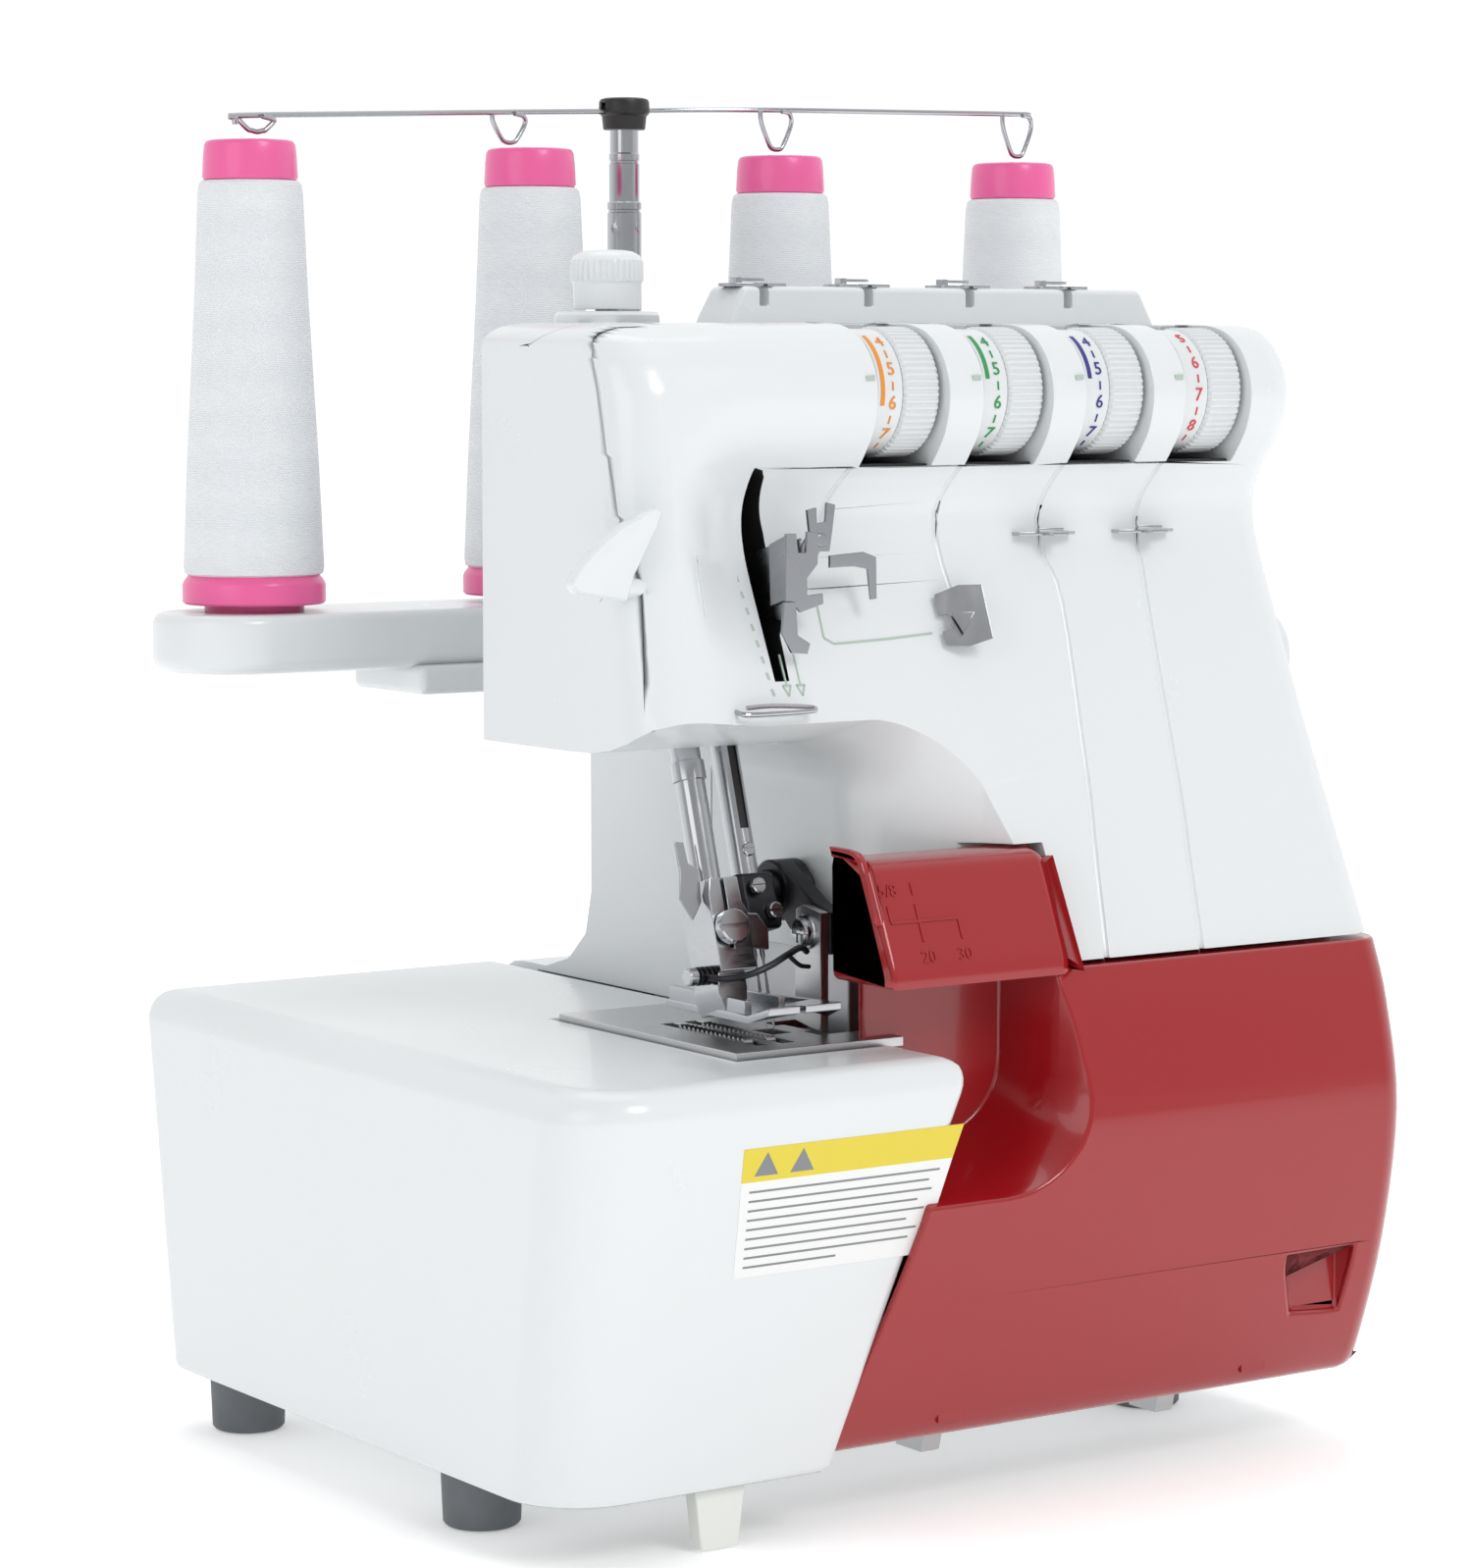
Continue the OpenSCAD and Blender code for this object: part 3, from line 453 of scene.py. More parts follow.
bodies = frame["record"]["behaviour"]["bodies"]


def body_of(node):
    return next(body for body, members in bodies.items() if node in members)


def keep(finish, *nodes):
    """The CAD node's own shape stays, in this finish."""
    for node in nodes:
        for slot in cad(node).material_slots:
            slot.material = finish


def refine(node, finish, width=0.5, angle=38, segments=2):
    """The CAD node's own shape with a small radius on its edges."""
    piece = copy_of(cad(node), node + "_finished")
    open_mesh(piece)
    bpy.ops.mesh.select_all(action="SELECT")
    bpy.ops.mesh.remove_doubles(threshold=0.000002)
    bpy.ops.mesh.dissolve_limited(angle_limit=radians(0.4))
    close_mesh()
    soften(piece, width, angle, segments)
    return fit(paint(piece, finish), body_of(node), finish, node)


def bright(name, colour, roughness, streak=(1, 1, 1), depth=0.00001, scale=700.0):
    """Metal with fine working marks; streak stretches them one way."""
    finish, place = start_finish(name, roughness, metallic=1.0)
    marks = noise(place.node("Mapping", {}, {"Vector": place, "Scale": streak}), scale, 4.0)
    cloud = noise(place, 60.0, 4.0)
    return feed(finish, Base_Color=between(cloud, [0.86 * c for c in colour], colour),
                Roughness=marks * 0.16 + cloud * 0.1 + (roughness - 0.12), Normal=relief(marks, depth, 0.3))


def rubbery(name, colour, roughness):
    finish, place = start_finish(name, roughness)
    dust = noise(place, 120.0, 6.0)
    return feed(finish, Base_Color=between(dust, [0.8 * c for c in colour], [1.25 * c for c in colour]),
                Normal=relief(noise(place, 2200.0, 2.0), 0.00006, 0.6))


cast_aluminium = bright("cast_aluminium", (0.62, 0.63, 0.65), 0.5, depth=0.0001, scale=900.0)
steel = bright("steel", (0.60, 0.60, 0.61), 0.3, (1, 1, 9))
chrome = bright("chrome", (0.50, 0.51, 0.53), 0.16, (1, 1, 0.2), 0.000004, 300.0)
blackened_steel = bright("blackened_steel", (0.045, 0.045, 0.05), 0.38, scale=1100.0)
bronze = bright("bronze", (0.62, 0.42, 0.22), 0.38)
motor_enamel = moulded("motor_enamel", (0.03, 0.03, 0.035), 0.4, grain=500.0)
foot_rubber = rubbery("foot_rubber", (0.12, 0.13, 0.14), 0.62)
belt_rubber = rubbery("belt_rubber", (0.015, 0.015, 0.015), 0.7)

keep(white_plastic, "rear_cover")
refine("base_pan", white_plastic, 0.4)
refine("machine_frame", cast_aluminium, 0.8)
refine("cover_hinge", steel, 0.3)
refine("rubber_feet", foot_rubber, 0.5)
refine("power_inlet", black_plastic, 0.4)
refine("power_switch", black_plastic, 0.5)
refine("handwheel", white_plastic, 0.6)
refine("stitch_length_dial", white_plastic, 0.3)
refine("differential_feed_dial", white_plastic, 0.3)
refine("motor", motor_enamel, 0.5)
keep(steel, "dial_axle", "main_shaft", "lower_knife")
keep(bronze, "shaft_bushes")
keep(motor_enamel, "main_pulley", "motor_pulley")
keep(belt_rubber, "drive_belt")

# Side table. A white box moulding, open below, with leaning front and back, soft upper edges and a slanted
# right end that meets the red cover. It slides off to the left and stands on a translucent moulded leg.
table_left, table_z, table_bottom = -16.0, 118.5, 15.7


def table_section(z, inset):
    """The table's outline at one height, drawn in by a distance, with rounded corners."""
    drop = (table_z - z) / (table_z - table_bottom)
    front, back = -74 + 15.6 * drop + inset, 153.6 - 15.4 * drop - inset
    left, right = table_left + inset, 99.4 - 33.0 * drop - inset
    outline = []
    for cx, cy, radius, start in ((left, front, 21, 180), (right, front, 4, 270), (right, back, 4, 0),
                                  (left, back, 5, 90)):
        radius = max(radius - inset, 1.0)
        centre = (cx + radius if cx < 40 else cx - radius, cy + radius if cy < 0 else cy - radius)
        outline += arc(centre, radius, start, start + 90, 8)
    return [at(a, b, z) for a, b in outline]


def table_sections(wall):
    edge = 9.0
    low = table_bottom - (2.0 if wall else 0.0)
    base = [] if wall else [table_section(table_bottom, 2.0), table_section(table_bottom + 0.6, 0.6)]
    return base + [table_section(low if wall else table_bottom + 2.2, wall)] + [
        table_section(z, wall) for z in (50, 85)] + [
        table_section(table_z - edge + (edge - wall) * sin(a), wall + (edge - wall) * (1 - cos(a)))
        for a in [radians(k) for k in (0, 12, 24, 36, 48, 60, 72, 82, 90)]]


table = loft("side_table", table_sections(0))
combine(table, loft("table_inside", table_sections(2.5)))
combine(table, block("arm_room", (46, -46, 0), (140, 40, 200)))
combine(table, block("arm_side", (98.4, 40, 0), (140, 200, 200)))
soften(table, 0.8, 50)
pale_plastic = moulded("pale_plastic", (0.74, 0.76, 0.72), 0.3, coat=0.2)
fit(table, "side_table", white_plastic, "extension_table", smooth=40)
refine("table_leg", pale_plastic, 0.6)

label_face = [(30.5, 101.8), (96.2, 101.8), (93.6, 93.4), (30.5, 93.4)]
label_lower = [(30.5, 93.4), (93.6, 93.4), (86.8, 69.6), (30.5, 69.6)]
yellow_label = moulded("yellow_label", (0.72, 0.58, 0.03), 0.4, coat=0.3)
paper_label = moulded("paper_label", (0.80, 0.81, 0.80), 0.4, coat=0.3)
grey_rules = moulded("grey_rules", (0.22, 0.23, 0.24), 0.5)


def on_table(name, outline, lift):
    """A thin sheet on the table's leaning front."""
    def face(z):
        return -74 + 15.6 * (table_z - z) / (table_z - table_bottom)
    return loft(name, [[at(x, face(z) - out, z) for x, z in outline] for out in (-0.3, lift)])


sheets = [paint(on_table("label_head", label_face, 0.12), yellow_label),
          paint(on_table("label_body", label_lower, 0.12), paper_label)]
for k in range(9):
    z = 91.2 - 2.35 * k
    right_end = 31 + (90.5 - 0.29 * (93 - z) - 31) * (1.0, 0.96, 0.99, 0.93, 0.98, 0.9, 0.97, 0.94, 0.55)[k]
    sheets.append(paint(on_table("rule", [(33, z), (right_end, z), (right_end, z - 0.55), (33, z - 0.55)],
                                 0.15),
                        grey_rules))
for x in (34, 44.5):
    sheets.append(paint(on_table("mark", [(x, 94.8), (x + 7, 94.8), (x + 3.5, 100.6)], 0.15), grey_rules))
label = join("table_label", sheets)
fit(label, "side_table", yellow_label, slot="white_plastic")

# Front cover and knife guard. The red cover is one glossy moulding, bowed forward, hinged along its lower
# edge; its upper left is scooped out for the trimmings and a finger pocket is sunk in its lower right. The
# guard over the knife is a separate red piece on top of it, with a seam gauge moulded in its face.
red_plastic = moulded("red_plastic", (0.32, 0.007, 0.011), 0.2, coat=0.4, skin=0.00002)
bow = curved([(-60.7, 136.3), (-66.6, 119.8), (-71.3, 92), (-66.2, 56), (-56.4, 25), (-51.5, 18.5)], 5)




def cover_section(x, inset):
    """The cover's side profile at x, drawn in by a distance where its right end rounds off."""
    return [at(x, y + inset, max(z, 18.5 + inset)) for y, z in bow] + [
        at(x, -38.8, 18.6 + inset), at(x, -38.6, 60), at(x, -38.6, 136.3)]


cover = loft("front_cover_shell", [cover_section(58, 0)] + [
    cover_section(body_right - 9.4 + 9 * sin(radians(a)), 9 * (1 - cos(radians(a))))
    for a in (0, 12, 24, 36, 48, 60, 72, 82, 90)])
left_of_cover = slab("left_of_cover", [(40, 0), (66.2, 0), (66.2, 18.5), (75.6, 49), (86, 79), (87.4, 84),
                                       (87.4, 150),
                                       (40, 150)], "y", -100, 0)
combine(cover, left_of_cover)


def chute(right, low, corner, y):
    """One section of the scoop for the trimmings."""
    return [at(a, y, b) for a, b in [(60, low)] + arc((right - corner, low + corner), corner, -90, 0, 10)
            + [(right, 150), (60, 150)]]


combine(cover, loft("trimmings_scoop", [chute(*section) for section in (
    (143, 78.5, 30, -95), (139.5, 80.5, 28, -72), (136.6, 82.4, 26, -68), (133.5, 85.0, 24, -62),
                                                                        (131.6, 88.0, 22, -54),
    (130.6, 91.0, 21, -46), (130.2, 93, 20, -41.4))]))
inside = slab("inside", [(y + 2.6, z) for y, z in bow[2:]] + [(-47, 12), (-20, 12), (-20, 140), (-45, 134)],
              "x", 138.5, body_right - 3.2)
combine(cover, inside)
combine(cover, slab("inside_lower", [(y + 2.6, z) for y, z in bow if z < 78] + [(-47, 12), (-20, 12),
                                                                                (-20, 77)],
                    "x", 40, 139))
pocket = loft("finger_pocket", [[at(a, y, b) for a, b in shape] for y, shape in (
    (-85, ((206.8, 34.2), (231.8, 34.6), (231.8, 56.4), (206.8, 56))),
    (-64.8, ((207.6, 35), (231.2, 35.4), (231.2, 55.4), (207.6, 55))),
    (-59.2, ((214.5, 39), (230, 37.5), (230, 53.6), (211.0, 53.6))))])
combine(cover, copy_of(pocket, "pocket_copy"))
cup = loft("pocket_cup", [[at(a, y, b) for a, b in shape] for y, shape in (
    (-67.0, ((205.8, 33.4), (233.2, 33.4), (233.2, 57), (205.8, 57))),
    (-57.4, ((213, 37), (232, 36), (232, 55.6), (209.5, 55.6))))])
combine(cup, pocket)
combine(cup, slab("in_front", [(y + 0.6, z) for y, z in bow] + [(-110, 10), (-110, 140)], "x", 190, 240))
soften(cover, 0.8, 38, 3)
soften(cup, 0.5, 38)
knuckles = []
for x in (100, 200):
    knuckles.append(turned("knuckle", "x", (-44, 26), [(x, 4.5), (x + 8, 4.5)], 32))
    knuckles.append(block("knuckle_foot", (x, -56.5, 23), (x + 8, -46, 29)))
fit(join("front_cover_shell", [cover, cup] + knuckles, red_plastic), "front_cover", red_plastic,
    "front_cover", smooth=36)

guard_line = curved([(-62.2, 134.9), (-61.9, 139), (-58.4, 147.5), (-53.0, 160), (-50.6, 164.2),
                     (-46.6, 165.7),
                     (-38, 165.9)], 4)
guard = slab("knife_guard_shell", guard_line + [Vector((-37.4, 163.6)), Vector((-45.5, 163.2)),
                                                Vector((-49, 161)),
                                                Vector((-59, 139.8)), Vector((-44, 138.4)),
                                                Vector((-38, 138.2)),
                                                Vector((-38, 134.9))], "x", 80.4, 138.6)
round_edges(guard, lambda m, d: m.x > 138 and m.y < -45 and m.z < 166, 4.5, 6)
round_edges(guard, lambda m, d: m.x < 81 and m.y < -45 and m.z < 166, 2.4, 5)
lip = slab("guard_lip", guard_line[9:] + [Vector((y + 1.2, z + 2.6)) for y, z in reversed(guard_line[9:])],
           "x", 79.4, 82.2)
round_edges(lip, lambda m, d: abs(d.x) < 0.5, 0.9, 3)


def guard_y(z):
    line = guard_line[:17]
    below, above = [(p, q) for p, q in zip(line, line[1:]) if p[1] <= z <= q[1]][0]
    return below[0] + (above[0] - below[0]) * (z - below[1]) / (above[1] - below[1])


def written(name, words, size, finish, thick=0.25):
    """Moulded or printed characters as a mesh lying in the XY plane, centred, in metres."""
    clear()
    bpy.ops.object.text_add()
    letters = bpy.context.object
    letters.name = name
    letters.data.body = words
    letters.data.size = size * mm
    letters.data.extrude = thick * mm
    letters.data.align_x = "CENTER"
    letters.data.align_y = "CENTER"
    letters.data.resolution_u = 3
    bpy.ops.object.convert(target="MESH")
    return paint(bpy.context.object, finish)


gauge = []
lean_back = atan2(11.0, 4.9)
for words, x, z in (("5/8", 85.5, 158.4), ("1", 93, 158.4), ("20", 93.4, 142.2), ("30", 104.6, 142.2)):
    number = written("gauge_number", words, 4.6, red_plastic, 0.3)
    number.data.transform(Matrix.Translation(at(x, guard_y(z) + 0.02, z))
                          @ Matrix.Rotation(lean_back, 4, "X"))
    gauge.append(number)


def gauge_line(x0, z0, x1, z1):
    wide = 0.35
    dx, dz = (wide, 0) if x0 == x1 else (0, wide)
    points = [(x0 - dx, z0 - dz), (x1 + dx if x0 == x1 else x1, z0 - dz if x0 != x1 else z0),
              (x1 + dx, z1 + dz), (x0 - dx, z1 + dz)]
    low_z, high_z = min(z0, z1) - dz, max(z0, z1) + dz
    return loft("gauge_line", [[at(a, guard_y(b) + out, b) for a, b in (
        (x0 - dx, low_z), (x1 + dx, low_z), (x1 + dx, high_z), (x0 - dx, high_z))] for out in (0.3, -0.3)])


gauge += [paint(gauge_line(*line), red_plastic) for line in (
    (84.5, 151, 105, 151), (84.5, 151, 84.5, 155), (93, 146, 93, 155), (105, 146, 105, 151))]
fit(join("knife_guard_shell", [guard, lip] + gauge, red_plastic), "front_cover", red_plastic, "knife_guard")

# Thread guide strip on the deck. A low white moulding with a chrome spring plate in front of each thread
# dial, each pressed from sheet with a hooked tongue and held by its own tabs.
strip = slab("guide_strip", [(91, deck_z - 0.4), (92.2, 301), (96.6, 308.7), (229.4, 308.7), (233.8, 301),
                             (235, deck_z - 0.4)], "y", 25, 41)
round_edges(strip, lambda m, d: m.z > 299.2 and abs(d.z) < 0.99, 1.6, 4)
for x in dial_x:
    combine(strip, block("notch", (x - 3.4, 22, 303.6), (x - 0.6, 30, 312)))
soften(strip, 0.5, 50)
fit(strip, "machine", white_plastic, "thread_guide_strip")
guides = []
for x in dial_x:
    plate = slab("plate", [(-9.6, -2.4), (-8.4, -4.6), (-3.4, -5.0), (-2.2, -6.2), (1.8, -6.2), (3.0, -5.0),
                           (7.4, -4.6), (8.8, -2.2), (8.8, 2.0), (7.0, 4.4), (-7.8, 4.4), (-9.6, 2.2)], "z",
                 0, 0.9)
    tongue = slab("tongue", [(-6.0, -0.8), (1.4, -1.3), (3.4, -0.4), (3.4, 1.0), (1.2, 1.8), (-6.0, 1.2)],
                  "z", 1.6, 2.3)
    post = slab("post", [(-6.4, -1.3), (-4.4, -1.3), (-4.4, 1.6), (-6.4, 1.6)], "z", 0.6, 2.5)
    slot = slab("slot", [(-1.0, -7), (0.4, -7), (0.4, -2.6), (4.2, -2.2), (4.2, -1.4), (-1.0, -1.6)], "z", -1,
                1.4)
    plate = join("plate", [combine(plate, slot), tongue, post])
    plate.data.transform(Matrix.Translation(Vector((x - 1.2, 31.5, 308.6)) * mm))
    soften(plate, 0.18, 40)
    guides.append(plate)
fit(join("chrome_guides", guides), "machine", chrome, "top_thread_guides")

# Thread dials. Each is a white moulding that turns on a steel axle: a smooth band with printed numbers on the
# left and fine ribs on the right, with a coloured line along the band for its thread.
print_orange = moulded("print_orange", (0.75, 0.27, 0.02), 0.45)
print_green = moulded("print_green", (0.02, 0.28, 0.08), 0.45)
print_navy = moulded("print_navy", (0.03, 0.025, 0.22), 0.45)
print_red = moulded("print_red", (0.62, 0.06, 0.07), 0.45)
dial_white = moulded("dial_white", (0.70, 0.72, 0.73), 0.33, coat=0.15)
for k, (ink, first, line_end) in enumerate(((print_orange, 4, -12), (print_green, 4, 12), (print_navy, 4, 12),
                                            (print_red, 5, None))):
    x = dial_x[k]
    band = turned("dial_band", "x", dial_axis, [
        (x, 6), (x, dial_r - 1.6), (x + 0.9, dial_r - 0.6), (x + 8.4, dial_r - 0.6), (x + 8.7, dial_r - 1.4),
        (x + 9.2, dial_r - 1.4), (x + 9.2, 6)], 96)
    teeth = 240

    def rib_ring(depth, radius, groove):
        """One ring round the knurled half, with every other pair of points in a groove."""
        ring = []
        for i in range(teeth):
            r = radius - (0.0 if i % 4 in (1, 2) else groove)
            ring.append(along("x", dial_axis[0] + r * cos(2 * pi * i / teeth),
                              dial_axis[1] + r * sin(2 * pi * i / teeth), x + depth))
        return ring

    ribs = loft("dial_ribs", [rib_ring(*ring) for ring in (
        (9.0, 8, 0), (9.0, dial_r - 0.8, 0.3), (9.6, dial_r, 0.55), (19.4, dial_r, 0.55),
        (20.4, dial_r - 1.0, 0.3), (20.5, 8, 0))])
    parts = [paint(band, dial_white), paint(ribs, dial_white)]

    def on_dial(piece, across, angle, lift=-0.5):
        """Puts a flat mark on the band, across from its left edge and at an angle up from the front."""
        up = radians(angle)
        radius = dial_r + lift
        place = at(x + across, dial_axis[0] - radius * cos(up), dial_axis[1] + radius * sin(up))
        piece.data.transform(Matrix.Translation(place) @ Matrix.Rotation(pi / 2 - up, 4, "X"))
        return piece

    for step in range(4):
        angle = 52 - 31 * step + (6 if first == 5 else 0)
        parts.append(on_dial(written("dial_number", str(first + step), 5.0, ink, 0.12), 5.4, angle))
        tick = slab("tick", [(-0.2, -1.1), (0.2, -1.1), (0.2, 1.1), (-0.2, 1.1)], "z", -0.1, 0.12)
        tick.data.transform(Matrix.Translation(-front_left_foot))
        parts.append(on_dial(paint(tick, ink), 5.4, angle - 15.5))
    if line_end is not None:
        start, steps = 62, 12
        stripe_corners = ((1.6, -0.8), (2.9, -0.8), (2.9, -0.5), (1.6, -0.5))
        stripe = loft("thread_line", [
            [at(x + across, dial_axis[0] - (dial_r + out) * cos(radians(a)),
                dial_axis[1] + (dial_r + out) * sin(radians(a))) for across, out in stripe_corners]
            for a in [start + (line_end - start) * i / steps for i in range(steps + 1)]])
        parts.append(paint(stripe, ink))
    fit(join("thread_dial_%d" % (k + 1), parts), "dial_%d" % (k + 1), dial_white, "tension_dial_%d" % (k + 1),
        slot="white_plastic")

pale_green = moulded("pale_green_print", (0.42, 0.50, 0.44), 0.45)
marks = []
for x in dial_x:
    marks.append(loft("index_mark", [[at(x - 4.6 + a, y, 284.2 + b) for a,
                                      b in ((0, 0), (2.6, 0.1), (2.6, 1.5), (0, 1.3))]
                                     for y in (-22.6, -24.05)]))
fit(join("dial_index_marks", marks), "machine", pale_green, slot="white_plastic")

# Thread stand. A white moulded tray with round ends on an arm behind the head, four pink cushions and cones
# of white thread, and a chrome telescopic pole with a black cap that carries the sprung wire bar.
stand_x, cone_y, tray_z, cone_top = (-20.0, 286.0), 130.0, 222.0, 348.0


def tray_section(z, inset):
    outline = arc((stand_x[1] - 22, cone_y), 22 - inset, -90, 90, 16) + arc((stand_x[0] + 22, cone_y),
                                                                            22 - inset, 90, 270, 16)
    return [at(a, b, z) for a, b in outline]


tray = loft("cone_tray", [tray_section(tray_z - 16 + 4 - 4 * sin(radians(a)), 4 * (1 - cos(radians(a))))
                          for a in (90, 67, 45, 22, 0)]
            + [tray_section(tray_z - 3 + 3 * sin(radians(a)),
                            3 * (1 - cos(radians(a)))) for a in (0, 22, 45, 67, 90)])
arm = block("tray_arm", (45, 104, 199), (229, 142, 207))
soften(arm, 2.2, 40, 3)
root = block("tray_root", (110, 104, 180), (164, 108, 206))
soften(root, 1.0, 40)
fit(join("cone_tray", [tray, arm, root], white_plastic), "machine", white_plastic, "spool_stand")
keep(pale_plastic, "spool_pins")

pink_plastic = moulded("pink_plastic", (0.80, 0.115, 0.33), 0.34, coat=0.2)
cone_x = (8, 96, 181, 266)
cushions, cores, windings = [], [], []


def wound(name, x):
    """White thread cross-wound on a cone: fine strands in two opposed spirals that meet in diamonds."""
    finish, place = start_finish(name, 0.62)
    shifted = place.node("Mapping", {}, {"Vector": place, "Location": -Vector(at(x, cone_y, 0))})
    parts = shifted.node("SeparateXYZ", {}, {"Vector": shifted})
    tree = parts.tree
    separate = parts.socket.node
    px, py, pz = (Signal(tree, separate.outputs[k]) for k in range(3))
    turn = px.node("Math", {"operation": "ARCTAN2"}, {0: py, 1: px})
    def wave(signal):
        return signal.node("Math", {"operation": "SINE"}, {0: signal})
    rising = wave(pz * (2 * pi / 0.0006) + turn * 9.0)
    falling = wave(pz * (2 * pi / 0.0006) - turn * 9.0)
    diamonds = wave(pz * (2 * pi / 0.026) + turn * 2.0) * wave(pz * (2 * pi / 0.026) - turn * 2.0)
    over = diamonds > 0.0
    strands = over * rising + (1 - over) * falling
    shade = strands * 0.12 + diamonds * 0.16 + noise(place, 300.0, 3.0) * 0.4 + 0.35
    return feed(finish, Base_Color=between(shade, (0.66, 0.685, 0.71), (0.80, 0.82, 0.84)),
                Normal=relief(strands + over * 0.8, 0.0001, 0.5))


for k, x in enumerate(cone_x):
    cushions.append(turned("cushion", "z", (x, cone_y),
                           [(tray_z - 0.2, 13.4), (tray_z + 1.6, 13.5), (tray_z + 2.2, 12.8)], 48))
    cores.append(turned("cone_core", "z", (x, cone_y), [
        (tray_z + 2, 12), (tray_z + 2, 18.6), (tray_z + 2.6, 19.3), (tray_z + 7.2, 19.3),
                                                        (tray_z + 8.2, 18.9),
        (tray_z + 9.6, 17.8), (cone_top - 11, 11.3), (cone_top - 10.6, 12.4), (cone_top - 9.8, 12.8),
        (cone_top - 4, 12.5), (cone_top - 1.2, 12.2), (cone_top - 0.3, 11.6), (cone_top, 10.6),
                                                        (cone_top, 7.8),
        (cone_top - 9, 7.2)], 64))
    windings.append(paint(turned("winding", "z", (x, cone_y), [
        (tray_z + 9.6, 12), (tray_z + 9.7, 17.6), (tray_z + 10.3, 18.6), (tray_z + 12, 18.9),
                                                               (tray_z + 40, 17.7),
        (cone_top - 40, 15.2), (cone_top - 14, 14.1), (cone_top - 11.6, 13.7), (cone_top - 10.8, 12.9),
        (cone_top - 10.7, 11)], 96), wound("thread_%d" % (k + 1), x)))
fit(join("cone_cushions", cushions, pink_plastic), "machine", pink_plastic, "cone_cushions")
fit(join("cone_cores", cores, pink_plastic), "machine", pink_plastic, "cone_cores")
fit(join("thread_windings", windings), "machine", white_plastic, "thread_windings", slot="thread")

pole_x, pole_y = 137.0, 145.0
pole_steps, pole_r = (334.6, 348.5, 359.5), (4.9, 4.35, 4.08)
for k, (node, body, low) in enumerate((("pole_lower", "machine", 200), ("pole_middle", "pole_middle", 206.5),
                                       ("pole_top", "pole_top", 213))):
    high, r = pole_steps[k], pole_r[k]
    tube = turned(node + "_tube", "z", (pole_x, pole_y), [
        (low, r - 0.4), (low + 0.4, r), (high - 3.2, r), (high - 3.0, r - 0.35), (high - 2.4, r - 0.35),
                                                          (high - 2.2, r),
        (high - 0.4, r), (high, r - 0.35)], 48)
    if k == 0:
        for angle in (200, 290):
            dent = turned("dimple", "z", (pole_x + (r + 1.6) * cos(radians(angle)),
                                          pole_y + (r + 1.6) * sin(radians(angle))),
                          [(high - 9.8, 0.6), (high - 9, 1.7), (high - 7.6, 2.2), (high - 6.2, 1.7),
                           (high - 5.4, 0.6)], 20)
            combine(tube, dent)
    fit(tube, body, chrome, node)
cap = turned("pole_cap", "z", (pole_x, pole_y), [
    (355, 4.2), (355, 6.0), (358.8, 6.4), (359.4, 7.0), (360, 7.3), (362.8, 7.2), (363.6, 6.8), (364, 5.6)],
             48)
for side_x in (-1, 1):
    combine(cap, block("cap_slot", (pole_x + side_x * 6.2 - 1.2, pole_y - 0.9, 360.6),
                       (pole_x + side_x * 6.2 + 1.2, pole_y + 0.9, 362.4)))
soften(cap, 0.25, 50)
fit(cap, "thread_arm", black_plastic, "pole_cap")

bar = [rod("wire", [(0.6, 124.2, 351.8), (0.8, 124.4, 353.4), (2.6, 125, 354.2), (48, 134, 356.4),
                    (96, 141, 358.6),
                    (pole_x - 3, pole_y, 360.2)], 0.8, 10)]
bar.append(rod("wire", [(pole_x + 3, pole_y, 360.6), (158, 137.4, 361.0), (181, 132, 361.4),
                        (224, 129.6, 362), (266, 128, 362.6),
                        (269.6, 127.6, 362.2), (270.6, 127.4, 360.8)], 0.8, 10))
for x, y, z in ((8, 126, 354.6), (96, 141, 358.6), (181, 132, 361.4), (266, 128, 362.6)):
    reach = z - 350
    bar.append(rod("eyelet", [(x - 5.6, y, z - 0.4), (x - 5.2, y, z - 0.35 * reach),
                              (x - 2.7, y, 350 + 0.16 * reach), (x - 1.5, y, 350.4),
                              (x, y, 350.1), (x + 1.5, y, 350.4), (x + 2.7, y, 350 + 0.16 * reach),
                              (x + 5.2, y, z - 0.35 * reach),
                              (x + 4.2, y - 0.6, z - 1.0), (x + 1.2, y - 1, z - 0.4)], 0.72, 10))
fit(join("thread_wire_bar", bar, chrome), "thread_arm", chrome, "guide_bar", smooth=60)

# Pressure knob. A white moulding screwed into the top of the head, with a domed top and a knurled band, in a
# low round boss on the deck.
knob_x, knob_y = 54.0, 25.0
teeth = 144


def knurl(z, radius, groove):
    return [at(knob_x + (radius - (groove if k % 4 in (2, 3) else 0)) * cos(2 * pi * k / teeth),
               knob_y + (radius - (groove if k % 4 in (2, 3) else 0)) * sin(2 * pi * k / teeth),
               z) for k in range(teeth)]


knob = loft("pressure_knob", [knurl(302.4, 6, 0), knurl(302.4, 8.5, 0), knurl(308.6, 8.7, 0),
                              knurl(309.4, 9.2, 0), knurl(309.8, 9.4, 0.4),
                              knurl(314.2, 9.4, 0.4), knurl(314.8, 9.1, 0), knurl(316, 8.4, 0),
                              knurl(317, 6.6, 0), knurl(317.4, 4, 0),
                              knurl(317.5, 1, 0)])
stem = turned("knob_stem", "z", (knob_x, knob_y), [(290, 3), (302.6, 3)], 24)
fit(join("pressure_knob", [knob, stem], white_plastic), "pressure_knob", white_plastic, "pressure_knob")
boss = turned("knob_boss", "z", (knob_x, knob_y),
              [(deck_z - 1, 13.6), (deck_z + 1.9, 13.4), (deck_z + 2.7, 12.8), (deck_z + 2.9, 11.8),
                                                   (deck_z + 2.9, 10.4), (deck_z + 1.6, 10.2),
                                                   (deck_z + 1.4, 4)], 64)
